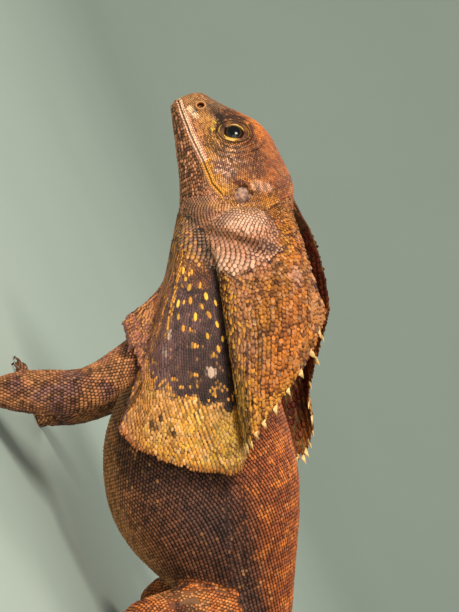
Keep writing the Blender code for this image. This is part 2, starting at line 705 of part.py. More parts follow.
def build_frill(mirror, side):
    """One half of the folded frill with its row of spines and the jowl above its root."""
    sheet = frill_sheet(mirror, FRILL_THICK, "frill_" + side)
    spines = []
    draw = random.Random(7 if mirror > 0 else 11)
    for a in SPINE_RIBS:
        tip = at_list(frill_point(a, 1.0, mirror), mirror)
        inner = at_list(frill_point(a, 0.93, mirror), mirror)
        along = at_list(frill_point(min(a + 0.1, len(RIBS) - 1.001), 1.0, mirror), mirror) - tip
        spines.append(spine(tip, (tip - inner).normalized(), along.normalized(), draw.uniform(0.75, 1.15)))
    forward, up, out = JOWL
    jowl = ball(at(forward, up, out * mirror), JOWL_RADII, "jowl", 16, 9)
    boolean(sheet, spines + [jowl], "UNION")
    boolean(sheet, [whole_trunk(0.3), block(Vector((-0.1 * mirror + GAP / 2 * mirror, 0, 0.1)))], "DIFFERENCE")
    return keep_largest(sheet)


def at_list(point, mirror):
    """The frill's own numbers as a point in metres, on the left or the right."""
    forward, up, side = point
    return at(forward, up, side * mirror)


def spine(place, outward, along, size):
    """A tapered spine whose root is sunk in the sheet's edge."""
    across = outward.cross(along).normalized()
    rings = []
    for reach, width, thick in ((-0.55, 0.9, 0.42), (0.2, 0.8, 0.36), (0.65, 0.42, 0.22), (1.0, 0.08, 0.06)):
        centre = place + outward * reach * SPINE_LENGTH * size * MM
        rings.append(
            [
                centre
                + along * math.cos(t) * width * SPINE_HALF_WIDTH * MM
                + across * math.sin(t) * thick * SPINE_HALF_WIDTH * MM
                for t in (2 * math.pi * k / CLAW_SIDES for k in range(CLAW_SIDES))
            ]
        )
    return loft(rings, "spine")


def finish(obj, colour, roughness, root):
    """Gives a piece its material and hangs it on the empty that carries the animal."""
    name = f"skin_{colour}"
    material = bpy.data.materials.get(name) or bpy.data.materials.new(name)
    material.use_nodes = True
    shader = material.node_tree.nodes["Principled BSDF"]
    shader.inputs["Base Color"].default_value = (*COLOURS[colour], 1)
    shader.inputs["Roughness"].default_value = roughness
    shader.inputs["Metallic"].default_value = 0.0
    obj.data.materials.clear()
    obj.data.materials.append(material)
    obj.data.shade_smooth()
    obj.data.set_sharp_from_angle(angle=math.radians(50))
    obj.parent = root


def centre_on_floor(root, pieces):
    """Moves the empty so that the middle of the whole box, at floor level, is the origin."""
    bpy.context.view_layer.update()
    graph = bpy.context.evaluated_depsgraph_get()
    corners = [p.evaluated_get(graph).matrix_world @ Vector(c) for p in pieces for c in p.bound_box]
    low = [min(c[i] for c in corners) for i in range(2)]
    high = [max(c[i] for c in corners) for i in range(2)]
    root.location = (-(low[0] + high[0]) / 2, -(low[1] + high[1]) / 2, 0)


def main():
    """Builds the animal from nose to tail tip."""
    for obj in list(bpy.data.objects):
        bpy.data.objects.remove(obj)
    root = bpy.data.objects.new("lizard", None)
    bpy.context.scene.collection.objects.link(root)

    body = whole_trunk()
    heads, trims = build_head(body)
    nape = (at(*NAPE), Vector((0, -1, NAPE_SLANT)).normalized())
    neck_cut = (at(*NECK_CUT), Vector((0, 1, -NECK_CUT_SLANT)).normalized())
    chest_cut = (at(CHEST_CUT, 0), Vector((0, 1, 0)))
    hip_cut = (at(HIP_CUT, 0), Vector((0, 1, 0)))
    neck = slice_between(body, nape, neck_cut, "neck")
    chest = slice_between(body, (neck_cut[0], -neck_cut[1]), chest_cut, "chest")
    belly = slice_between(body, (chest_cut[0], -chest_cut[1]), hip_cut, "belly")
    hips = slice_between(body, (hip_cut[0], -hip_cut[1]), None, "hips")
    bpy.data.objects.remove(body)

    tail = build_tail()
    limbs, frills = [], []
    for mirror, side in ((1, "left"), (-1, "right")):
        right = mirror < 0
        fore, hind = (RIGHT_FORE_SHIFT, RIGHT_HIND_SHIFT) if right else (0.0, 0.0)
        limbs += build_leg("fore", FORE_JOINTS, FORE_RADII, mirror, side, fore)
        limbs += build_leg("hind", HIND_JOINTS, HIND_RADII, mirror, side, hind)
        frills.append(build_frill(mirror, side))
    groups = (
        (heads, "head", 0.6),
        ([neck], "throat", 0.65),
        ([chest, belly, hips], "body", 0.65),
        (tail, "tail", 0.65),
        (limbs, "limb", 0.65),
        (frills, "frill", 0.6),
        ([p for p in trims if p.name.startswith("eye_")], "eye", 0.08),
        ([p for p in trims if p.name.startswith("eardrum")], "drum", 0.5),
    )
    for pieces, colour, roughness in groups:
        for piece in pieces:
            finish(piece, colour, roughness, root)
    centre_on_floor(root, [p for pieces, _, _ in groups for p in pieces])


main()
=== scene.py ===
"""The looks of a life-size frilled lizard that stands alert, with its frill folded back over its shoulders.

Every form is worked out in millimetres along three body directions, forward, up and side (left positive),
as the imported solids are, and is put in its place by what the frame says of the head.
"""

import json
import logging
import math
from collections.abc import Callable
from dataclasses import dataclass, fields
from enum import Enum, IntEnum

import bmesh
import bpy
import numpy as np
from mathutils import Matrix, Quaternion, Vector, noise
from mathutils.bvhtree import BVHTree
from mathutils.kdtree import KDTree

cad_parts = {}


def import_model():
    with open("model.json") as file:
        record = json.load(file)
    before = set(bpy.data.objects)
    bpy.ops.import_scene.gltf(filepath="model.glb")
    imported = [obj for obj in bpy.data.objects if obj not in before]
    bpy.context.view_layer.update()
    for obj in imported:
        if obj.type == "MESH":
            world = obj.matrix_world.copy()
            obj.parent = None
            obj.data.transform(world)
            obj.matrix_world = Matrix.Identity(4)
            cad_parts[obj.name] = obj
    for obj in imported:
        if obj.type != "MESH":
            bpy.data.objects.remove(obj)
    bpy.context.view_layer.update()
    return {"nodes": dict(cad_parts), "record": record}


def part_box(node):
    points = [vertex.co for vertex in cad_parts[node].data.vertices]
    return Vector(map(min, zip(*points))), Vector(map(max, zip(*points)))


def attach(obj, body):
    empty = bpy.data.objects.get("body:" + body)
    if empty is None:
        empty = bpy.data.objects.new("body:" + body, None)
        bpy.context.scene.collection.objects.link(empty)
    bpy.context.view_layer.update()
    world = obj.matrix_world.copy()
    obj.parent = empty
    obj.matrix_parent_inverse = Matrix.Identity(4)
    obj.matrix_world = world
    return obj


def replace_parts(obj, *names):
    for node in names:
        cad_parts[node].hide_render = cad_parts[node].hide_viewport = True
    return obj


MM = 0.001
SCALE_ROOM = 2.8
PIECE_LIMIT = 190000
LOG = logging.getLogger("lizard")


class Side(Enum):
    """The two sides of the animal, as the sign of the side direction."""

    LEFT = 1
    RIGHT = -1

    @property
    def label(self) -> str:
        """The word used in names."""
        return self.name.lower()


class Slot(Enum):
    """The record's material slots, which the builders are given but do not use."""

    HEAD = "head"
    FRILL = "frill"
    BODY = "body"
    LIMB = "limb"
    TAIL = "tail"
    EYE = "eye"
    DRUM = "drum"


class Seed(IntEnum):
    """The seeds of the random draws, to which the number of a piece, row or side is added."""

    TORSO = 11
    TUBE = 21
    HEAD = 31
    HEAD_FILL = 33
    JOWL = 36
    JOWL_FILL = 37
    FRILL_ROOT = 39
    LIP = 41
    DIGIT = 50
    LID = 60
    FRILL = 70
    LEG_FILL = 78
    BACK_FILL = 79
    FRILL_EDGE = 90
    PIECE = 100


def unit(vectors: np.ndarray) -> np.ndarray:
    """Vectors of length one along the last axis."""
    return vectors / np.maximum(np.linalg.norm(vectors, axis=-1, keepdims=True), 1e-9)


def ease(low: float, high: float, value: np.ndarray) -> np.ndarray:
    """A smooth step from 0 at low to 1 at high, which may be the smaller of the two."""
    t = np.clip((value - low) / (high - low), 0.0, 1.0)
    return t * t * (3 - 2 * t)


def spot(distance: np.ndarray, reach: float) -> np.ndarray:
    """A soft round spot that is 1 in its middle."""
    return np.exp(-((distance / reach) ** 2))


def patchy(places: np.ndarray, grain: float, seed: float = 0.0) -> np.ndarray:
    """Smooth noise from -1 to 1 at places in mm, with patches about grain mm across."""
    shift = Vector((seed * 17.3, seed * 5.1, seed * 9.7))
    return np.array([noise.noise(Vector(p) / grain + shift) for p in places]) * 1.6


def body(forward: np.ndarray, up: np.ndarray, side: np.ndarray) -> np.ndarray:
    """Places in mm, with the last axis along the world's X, Y and Z."""
    forward, up, side = np.broadcast_arrays(forward, up, side)
    return np.stack([side, -forward, up], axis=-1).astype(float)


def many(row: np.ndarray, count: int) -> np.ndarray:
    """The same row for each of a number of places."""
    return np.repeat(np.array(row, float)[None, :], count, axis=0)


def lengths(points: np.ndarray) -> np.ndarray:
    """How long a path is up to each of its points."""
    return np.concatenate([[0.0], np.cumsum(np.linalg.norm(np.diff(points, axis=0), axis=1))])


def circle(count: int) -> np.ndarray:
    """Angles evenly round a circle."""
    return np.arange(count) / count * 2 * math.pi


class Curve:
    """A smooth curve through rows of values, the first of which is the place."""

    def __init__(self, rows: tuple) -> None:
        """Works out the slope at each row.

        Args:
            rows: Tuples of a place and the values there.
        """
        table = np.array(sorted(rows), float)
        self.places, self.values = table[:, 0], table[:, 1:]
        slopes = np.diff(self.values, axis=0) / np.diff(self.places)[:, None]
        self.tangents = np.vstack([slopes[:1], (slopes[1:] + slopes[:-1]) / 2, slopes[-1:]])

    def at(self, where: np.ndarray) -> np.ndarray:
        """The values at places.

        Args:
            where: Places along the curve.

        Returns:
            One row of values for each place.
        """
        where = np.atleast_1d(np.asarray(where, float))
        i = np.clip(np.searchsorted(self.places, where) - 1, 0, len(self.places) - 2)
        step = (self.places[i + 1] - self.places[i])[:, None]
        t = (where - self.places[i])[:, None] / step
        a, b = self.values[i], self.values[i + 1]
        ta, tb = self.tangents[i] * step, self.tangents[i + 1] * step
        return a + t * ta + t**2 * (3 * (b - a) - 2 * ta - tb) + t**3 * (2 * (a - b) + ta + tb)


@dataclass(frozen=True)
class Place:
    """Where the animal's own millimetres lie in the world."""

    x: float
    y: float

    @classmethod
    def from_frame(cls, snout: float) -> "Place":
        """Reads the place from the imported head.

        Args:
            snout: How far forward the tip of the snout lies, in mm.

        Returns:
            The place of the animal's own origin.
        """
        low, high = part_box("head")
        return cls((low.x + high.x) / 2, low.y + snout * MM)

    def world(self, places: np.ndarray) -> np.ndarray:
        """Body places in mm as world places in metres."""
        return np.asarray(places) * MM + np.array((self.x, self.y, 0.0))

    def body(self, places: np.ndarray) -> np.ndarray:
        """World places in metres as body places in mm."""
        return (np.asarray(places) - np.array((self.x, self.y, 0.0))) / MM


@dataclass(frozen=True)
class Trunk:
    """Head, neck and trunk as rings: forward, top, bottom, half width, widest share, fullness."""

    stations: tuple = (
        (85.4, 131.5, 124.0, 3.0, 0.45, 2.0),
        (84.2, 135.0, 121.6, 5.6, 0.42, 2.1),
        (80.0, 138.6, 119.6, 8.2, 0.40, 2.3),
        (74.0, 143.2, 117.8, 10.6, 0.36, 2.4),
        (69.0, 147.6, 116.4, 12.4, 0.33, 2.5),
        (62.0, 153.0, 114.2, 15.0, 0.32, 2.5),
        (54.0, 155.8, 111.8, 18.6, 0.36, 2.4),
        (47.0, 156.3, 109.0, 21.8, 0.40, 2.3),
        (40.0, 156.6, 105.6, 23.6, 0.43, 2.2),
        (34.0, 156.8, 103.2, 23.4, 0.46, 2.2),
        (28.0, 155.6, 101.0, 21.6, 0.48, 2.1),
        (18.0, 150.0, 96.0, 19.2, 0.50, 2.0),
        (5.0, 140.0, 86.0, 19.6, 0.50, 2.0),
        (-8.0, 131.0, 69.0, 23.5, 0.50, 2.0),
        (-22.0, 123.0, 50.0, 29.5, 0.48, 2.1),
        (-35.0, 117.0, 37.0, 34.5, 0.47, 2.1),
        (-50.0, 113.0, 28.8, 38.0, 0.46, 2.1),
        (-68.0, 110.5, 24.2, 39.5, 0.45, 2.1),
        (-85.0, 107.0, 25.4, 38.5, 0.46, 2.1),
        (-100.0, 101.0, 30.6, 34.5, 0.48, 2.1),
        (-115.0, 93.2, 38.0, 28.5, 0.50, 2.1),
        (-130.0, 85.0, 44.5, 22.5, 0.52, 2.1),
        (-150.0, 74.5, 46.5, 15.5, 0.50, 2.0),
    )

    @property
    def snout(self) -> float:
        """How far forward the nose reaches."""
        return self.stations[0][0]

    @property
    def end(self) -> float:
        """How far forward the trunk's last ring lies."""
        return self.stations[-1][0]

    def sizes(self, forward: np.ndarray) -> np.ndarray:
        """Top, bottom, half width, widest share and fullness at places."""
        return Curve(self.stations).at(forward)

    def ring(self, forward: np.ndarray, turns: np.ndarray) -> np.ndarray:
        """Points round the trunk.

        Args:
            forward: The place of each ring.
            turns: Shares of a turn, from the top and down the left side.

        Returns:
            An array of rings, points and body places.
        """
        forward = np.atleast_1d(forward)
        top, bottom, half, widest, full = (c[:, None] for c in self.sizes(forward).T)
        middle = bottom + (top - bottom) * widest
        across, rise = np.sin(2 * math.pi * turns)[None, :], np.cos(2 * math.pi * turns)[None, :]
        side = half * np.sign(across) * np.abs(across) ** (2 / full)
        reach = np.where(rise > 0, top - middle, middle - bottom)
        up = middle + reach * np.sign(rise) * np.abs(rise) ** (2 / full)
        return body(forward[:, None], up, side)

    def half_width(self, forward: np.ndarray, up: np.ndarray) -> np.ndarray:
        """How far the side lies from the middle at places and heights.

        Args:
            forward: How far forward each place lies.
            up: How high each place lies.

        Returns:
            A half width for each place.
        """
        forward = np.atleast_1d(np.asarray(forward, float))
        top, bottom, half, widest, full = self.sizes(forward).T
        middle = bottom + (top - bottom) * widest
        reach = np.where(up > middle, top - middle, middle - bottom)
        share = np.clip(np.abs(up - middle) / reach, 0.0, 1.0)
        return half * (1 - share**full) ** (1 / full)

    def height_share(self, places: np.ndarray) -> np.ndarray:
        """How high each body place lies, from 0 at the belly's line to 1 at the back's."""
        top, bottom = self.sizes(-places[:, 1])[:, :2].T
        return np.clip((places[:, 2] - bottom) / (top - bottom), 0.0, 1.0)

    def surface(self, forward: float, up: float, side: Side) -> tuple[np.ndarray, np.ndarray]:
        """A place on the head's side and the direction that it faces.

        Args:
            forward: How far forward the place lies.
            up: How high it lies.
            side: Which side it is on.

        Returns:
            The place and its normal.
        """
        ahead, above = forward + np.array((0.0, 1.0, 0.0)), up + np.array((0.0, 0.0, 1.0))
        places = body(ahead, above, self.half_width(ahead, above))
        normal = unit(np.cross(places[2] - places[0], places[1] - places[0]))
        normal = normal * (1.0 if normal[0] > 0 else -1.0)
        flip = np.array((side.value, 1.0, 1.0))
        return places[0] * flip, normal * flip


def frames_along(points: np.ndarray, up_hint: tuple) -> tuple[np.ndarray, np.ndarray, np.ndarray]:
    """The direction of travel and two cross directions at each point of a path.

    Args:
        points: Body places along the path.
        up_hint: A direction that the first cross direction stays square to.

    Returns:
        Directions ahead, across and above at each point.
    """
    before = np.vstack([points[:1], points[:-1]])
    after = np.vstack([points[1:], points[-1:]])
    ahead = unit(after - before)
    across = unit(np.cross(ahead, np.array(up_hint, float)))
    return ahead, across, np.cross(across, ahead)


@dataclass(frozen=True)
class Tube:
    """A limb or tail: its path, cross directions and half sizes."""

    points: np.ndarray
    ahead: np.ndarray
    across: np.ndarray
    above: np.ndarray
    sizes: np.ndarray

    def runs(self) -> np.ndarray:
        """The length of the path up to each of its points."""
        return lengths(self.points)

    def ring(self, run: float, turns: np.ndarray) -> np.ndarray:
        """Points round the tube at a length along its path.

        Args:
            run: The length along the path.
            turns: Shares of a turn for the points.

        Returns:
            One body place for each point.
        """
        width, height = self._along(self.sizes, run)
        sideways = np.sin(2 * math.pi * turns)[:, None] * self._along(self.across, run)[None, :] * width
        upward = np.cos(2 * math.pi * turns)[:, None] * self._along(self.above, run)[None, :] * height
        return self._along(self.points, run)[None, :] + sideways + upward

    def heading(self, run: float) -> np.ndarray:
        """The direction of travel at a length along the path."""
        return unit(self._along(self.ahead, run))

    def _along(self, values: np.ndarray, run: float) -> np.ndarray:
        """What a row of values for each point comes to at a length along the path."""
        return np.array([np.interp(run, self.runs(), column) for column in values.T])


@dataclass(frozen=True)
class Tail:
    """The tail: it drops from the hips to the floor and lies along it in a slow bend."""

    length: float = 438.0
    drop: float = 104.0
    swing: float = 46.0
    swing_start: float = 40.0
    gap: float = 0.3
    flat: float = 0.45
    step: float = 4.0
    profile: tuple = (
        (0.0, 15.5, 14.0),
        (0.05, 14.0, 13.2),
        (0.12, 12.2, 12.0),
        (0.25, 9.4, 9.2),
        (0.45, 6.6, 6.4),
        (0.70, 4.1, 3.9),
        (0.90, 2.4, 2.2),
        (1.0, 1.1, 1.0),
    )

    def tube(self, trunk: Trunk) -> Tube:
        """The tail's tube from the trunk's last ring.

        Args:
            trunk: The trunk that it grows from.

        Returns:
            The tube.
        """
        top, bottom = trunk.sizes(trunk.end)[0, :2]
        count = round(self.length / self.step)
        runs = self.length * np.arange(count + 1) / count
        sizes = Curve(self.profile).at(runs / self.length)
        drop = ease(0.0, self.drop, runs)
        up = (top + bottom) / 2 + (sizes[:, 1] - self.flat - (top + bottom) / 2) * drop
        side = self.swing * np.sin(math.pi * np.maximum(0.0, runs - self.swing_start) / self.length * 1.25)
        steps = np.diff(runs) ** 2 - np.diff(up) ** 2 - np.diff(side) ** 2
        forward = trunk.end - self.gap - np.concatenate([[0.0], np.cumsum(np.sqrt(np.maximum(steps, 0.1)))])
        points = body(forward, up, side)
        return Tube(points, *frames_along(points, (0, 0, 1)), sizes)


@dataclass(frozen=True)
class Limb:
    """One kind of leg: its joints, half sizes, and its hand or foot with five digits."""

    upper: str
    lower: str
    end: str
    joints: tuple
    radii: tuple
    right_shift: float
    turn: float
    palm: tuple
    digits: tuple
    stations: tuple = (0.0, 0.5, 0.9, 1.35, 1.8, 2.0)
    bend: float = 0.26
    bend_shift: float = 0.25
    claw: float = 4.8
    flat: float = 0.45

    def nodes(self, side: Side) -> list[str]:
        """The names of the leg's solids on a side."""
        return [f"{name}_{side.label}" for name in (self.upper, self.lower, self.end)]

    def tube(self, side: Side) -> Tube:
        """The leg's tube down to the wrist or ankle.

        Args:
            side: Which side it is on.

        Returns:
            The tube.
        """
        a, b, c = (np.array(j, float) for j in self.joints)
        shift = self.right_shift if side is Side.RIGHT else 0.0
        b[0] += shift * self.bend_shift
        c[0] += shift
        t = np.linspace(0, 1, 25)[:, None]
        before, after = a + (b - a) * (1 - self.bend), b + (c - b) * self.bend
        first = a + (before - a) * t
        turn = (before + (b - before) * t) * (1 - t) + (b + (after - b) * t) * t
        last = after + (c - after) * t
        path = np.vstack([first[:-1], turn[:-1], last])
        start, end = t[:-1, 0], t[:, 0]
        share = (start * (1 - self.bend), 1 + start * self.bend, 1 + self.bend + (1 - self.bend) * end)
        sizes = Curve(tuple((s, *r) for s, r in zip(self.stations, self.radii))).at(np.concatenate(share))
        points = body(path[:, 0], path[:, 1], path[:, 2] * side.value)
        return Tube(points, *frames_along(points, (side.value, -0.2, 0.3)), sizes)

    def rays(self, side: Side) -> list["Ray"]:
        """The digits of this leg on a side.

        Args:
            side: Which side it is on.

        Returns:
            One ray for each digit, from the inner one outwards.
        """
        wrist = self.tube(side).points[-1]
        length, width, _ = self.palm
        heading = np.array((math.sin(self.turn) * side.value, -math.cos(self.turn), 0.0))
        outwards = np.array((math.cos(self.turn) * side.value, math.sin(self.turn), 0.0))
        rays = []
        for size, spread, thick in self.digits:
            angle = self.turn - math.radians(spread)
            aim = np.array((math.sin(angle) * side.value, -math.cos(angle), 0.0))
            root = wrist + heading * length * 0.8
            root = root + outwards * math.sin(math.radians(-spread)) * width * 0.55
            rays.append(Ray(root, aim, size, thick, self.claw, self.flat))
        return rays


@dataclass(frozen=True)
class Ray:
    """A finger or toe: where it starts, where it points, and its length and half thickness."""

    root: np.ndarray
    aim: np.ndarray
    length: float
    thick: float
    claw: float
    flat: float

    @property
    def pad(self) -> float:
        """How high the middle of the tip lies."""
        return self.thick - self.flat

    def centre(self, share: np.ndarray) -> np.ndarray:
        """The middle line at shares of the length.

        Args:
            share: Shares of the digit's length.

        Returns:
            One body place for each share.
        """
        arch = ((-0.22, 3.4), (0.35, 2.6 + self.thick * 0.2), (0.75, self.thick + 0.3), (1.0, self.pad))
        places = self.root[None, :] + self.aim[None, :] * self.length * np.atleast_1d(share)[:, None]
        places[:, 2] = Curve(arch).at(share)[:, 0]
        return places


FORE = Limb(
    upper="upper_arm",
    lower="forearm",
    end="hand",
    joints=((-3.0, 88.0, 10.0), (-16.6, 44.0, 43.0), (0.5, 8.0, 54.0)),
    radii=((9.0, 9.5), (7.6, 7.4), (8.2, 7.8), (9.6, 8.6), (8.2, 7.2), (5.6, 5.0)),
    right_shift=-20.0,
    turn=math.radians(18),
    palm=(13.0, 13.0, 7.4),
    digits=((9.0, 52, 1.55), (14.0, 27, 1.7), (18.0, 6, 1.75), (18.5, -15, 1.75), (12.5, -46, 1.6)),
)
HIND = Limb(
    upper="thigh",
    lower="shin",
    end="foot",
    joints=((-127.0, 64.0, 8.0), (-112.5, 17.5, 44.0), (-158.0, 9.8, 62.0)),
    radii=((16.5, 15.0), (13.5, 12.0), (10.0, 9.5), (9.6, 8.6), (7.4, 6.6), (6.0, 5.4)),
    right_shift=-9.0,
    turn=math.radians(38),
    palm=(21.0, 12.5, 8.0),
    digits=((8.5, 42, 1.6), (14.0, 22, 1.75), (21.0, 7, 1.9), (28.0, -9, 1.95), (15.0, -38, 1.7)),
)


@dataclass(frozen=True)
class Face:
    """Where the eye, nostril, ear and mouth lie on the head: forward and up, and their sizes."""

    eye: tuple = (60.9, 142.4)
    eye_radius: float = 5.6
    eye_sunk: float = 4.5
    lid_pitch: float = math.radians(50)
    opening: tuple = (4.5, 3.0)
    lid_reach: tuple = (7.0, 5.2)
    nostril: tuple = (77.9, 133.7)
    nostril_radius: float = 1.4
    ear: tuple = (34.2, 135.5)
    ear_radius: float = 4.2
    ear_depth: float = 1.5
    mouth: tuple = ((92.0, 125.4), (80.0, 125.0), (68.0, 124.6), (56.0, 125.4), (44.0, 125.4), (37.6, 127.6))
    jowl: tuple = (17.5, 127.0, 19.5)
    jowl_radii: tuple = (14.0, 14.5, 16.5)
    nape: float = 22.0

    def mouth_height(self, forward: np.ndarray) -> np.ndarray:
        """How high the line of the mouth lies at places."""
        return np.interp(forward, *zip(*sorted(self.mouth)))

    def eye_axes(self, trunk: Trunk, side: Side) -> tuple[np.ndarray, np.ndarray, np.ndarray, np.ndarray]:
        """The place of the eye on the head's side, and its long, short and outward directions.

        Args:
            trunk: The trunk that it follows.
            side: Which side it is on.

        Returns:
            The place and the three directions.
        """
        place, normal = trunk.surface(*self.eye, side)
        ahead = np.array((0.0, -1.0, 0.0))
        ahead = unit(ahead - normal * normal.dot(ahead))
        above = np.cross(ahead, normal)
        above = above * (1.0 if above[2] > 0 else -1.0)
        c, s = math.cos(self.lid_pitch), math.sin(self.lid_pitch)
        return place, ahead * c - above * s, ahead * s + above * c, normal

    def eye_centre(self, trunk: Trunk, side: Side) -> np.ndarray:
        """The middle of the eyeball."""
        place, _, _, normal = self.eye_axes(trunk, side)
        return place - normal * self.eye_sunk


@dataclass(frozen=True)
class Folds:
    """The folded frill's left half as ribs from the neck to the free edge.

    Each rib: the height of its root; forward, up and side of its tip; how far its middle stands out
    sideways and up; how far the right one's tip is moved; how fully it follows the throat first.
    """

    ribs: tuple = (
        (101.0, (6.4, 81.9, 0.0), 0.0, 0.0, (0, 0), 0.0),
        (105.0, (7.0, 78.5, 14.0), 1.5, 0.0, (0, 0), 1.0),
        (107.0, (5.5, 68.4, 35.0), 3.0, 1.0, (0, 0), 1.0),
        (108.5, (-9.0, 66.5, 39.5), 5.0, 1.0, (0, 0), 0.9),
        (110.0, (-22.2, 65.2, 42.5), 9.0, 2.0, (0, 0), 0.5),
        (111.0, (-35.2, 48.7, 42.5), 8.5, 3.0, (0, 0), 0.2),
        (112.5, (-48.8, 54.6, 45.0), 12.0, 0.0, (0, 0), 0.0),
        (114.5, (-60.3, 66.5, 46.5), 12.0, -1.0, (0, 0), 0.0),
        (116.5, (-72.4, 87.1, 45.0), 10.0, 1.0, (0, 0), 0.0),
        (118.0, (-62.5, 95.8, 39.0), 3.0, 3.0, (-6, 3), 0.0),
        (119.5, (-64.5, 94.5, 47.0), 11.0, 1.0, (-20, 11), 0.0),
        (123.5, (-62.0, 99.5, 50.5), 14.5, 3.5, (-20, 11), 0.0),
        (130.0, (-56.5, 109.0, 48.5), 15.0, 4.0, (-17, 8), 0.0),
        (139.0, (-48.0, 124.0, 43.0), 13.5, 4.0, (-12, -3), 0.0),
        (147.0, (-37.0, 138.5, 36.0), 10.0, 3.0, (-5, -4), 0.0),
        (153.5, (-25.5, 148.0, 27.0), 6.0, 3.0, (-1, -1), 0.0),
    )
    nape: tuple = (22.0, 157.0)
    slant: float = 0.36
    back: float = 1.2
    sunk: float = 4.0
    hold_power: float = 8.0
    lead: tuple = (6.0, 138.0, 154.0)
    near_drop: float = 4.0
    pleat: float = 0.45
    swell: tuple = (9.6, 2.7, 1.5)
    crease: tuple = (2.3, 0.42)

    @property
    def last(self) -> int:
        """The number of the last rib."""
        return len(self.ribs) - 1

    def rib_points(self, trunk: Trunk, rib: tuple, share: np.ndarray, side: Side) -> np.ndarray:
        """Forward, up and side along one rib.

        Args:
            trunk: The trunk that the rib grows from.
            rib: One row of ribs.
            share: Shares of its length.
            side: Which half it is on.

        Returns:
            One row for each share.
        """
        root_up, (tip_forward, tip_up, tip_side), out, rise, moved, hold = rib
        if side is Side.RIGHT:
            tip_forward += moved[0]
            tip_up += moved[1]
        elif rib is self.ribs[-1]:
            rise -= self.near_drop
        root_forward = self.nape[0] + (self.nape[1] - root_up) * self.slant - self.back
        root_forward += self.lead[0] * float(ease(self.lead[1], self.lead[2], root_up))
        bottom = trunk.sizes(root_forward)[0, 1]
        root_side = 0.0
        if tip_side:
            width = trunk.half_width(root_forward, np.array([max(root_up, bottom)]))[0]
            root_side = max(0.0, width - self.sunk)
        else:
            root_up = bottom + self.sunk
        bulge = 4 * share * (1 - share)
        late = (share**self.hold_power - share) * hold
        start = self.ribs[0][1]
        forward = root_forward + (tip_forward - root_forward) * share + (tip_forward - start[0]) * late
        up = root_up + (tip_up - root_up) * share + rise * bulge + (tip_up - start[1]) * late
        across = root_side + (tip_side - root_side) * share**0.85 + out * bulge * share**0.5
        across += (tip_side - start[2]) * late
        return np.stack([forward, up, across], axis=-1)

    def points(self, trunk: Trunk, a: np.ndarray, share: np.ndarray, side: Side) -> np.ndarray:
        """Body places on the middle of the folded sheet.

        Args:
            trunk: The trunk that the sheet grows from.
            a: How far round each place is, counted in ribs.
            share: How far it is from the neck to the free edge.
            side: Which half it is on.

        Returns:
            One body place for each.
        """
        share = np.clip(share, 0.0, None)
        table = np.stack([self.rib_points(trunk, rib, share, side) for rib in self.ribs])
        i = np.clip(a.astype(int), 0, self.last - 1)
        t = (a - i)[:, None]
        each = np.arange(len(a))
        p0, p1, p2, p3 = (table[np.clip(i + d, 0, self.last), each] for d in (-1, 0, 1, 2))
        curve = (2 * p0 - 5 * p1 + 4 * p2 - p3) * t**2 + (3 * p1 - p0 - 3 * p2 + p3) * t**3
        rows = 0.5 * (2 * p1 + (p2 - p0) * t + curve)
        wave = self.pleat * np.cos(2 * math.pi * a) * share * np.clip(a / 2, 0.0, 1.0)
        start, length, height = self.swell
        lobe = np.clip((a - start) / 0.5, 0.0, 1.0) * np.clip((self.last - a) / 1.5, 0.0, 1.0)
        left = np.clip(1 - share, 0.0, 1.0)
        wave += height * np.sin(2 * math.pi * (a - start) / length) * lobe * 4 * share * left
        often, deep = self.crease
        bent = 2 * math.pi * often * a + 2.5 * np.sin(share * 9.0)
        wave += deep * np.sin(bent) * lobe * ease(0.3, 0.6, share)
        forward, up, out = rows.T
        return body(forward, up, (out + wave) * side.value)

    def facing(self, trunk: Trunk, a: np.ndarray, share: np.ndarray, side: Side) -> tuple:
        """Places on the sheet's middle, directions to the free edge and outward normals.

        Args:
            trunk: The trunk that it follows.
            a: How far round each place is, counted in ribs.
            share: How far each place is from the neck to the free edge.
            side: Which side it is on.

        Returns:
            One row of each kind for each place.
        """
        step = 0.01
        here = self.points(trunk, a, share, side)
        left = self.points(trunk, np.clip(a - step, 0, self.last), share, side)
        right = self.points(trunk, np.clip(a + step, 0, self.last), share, side)
        ahead = self.points(trunk, a, share + step, side)
        behind = self.points(trunk, a, np.maximum(share - step, 0.0), side)
        lie = unit(ahead - behind)
        return here, lie, unit(np.cross(right - left, lie)) * -side.value


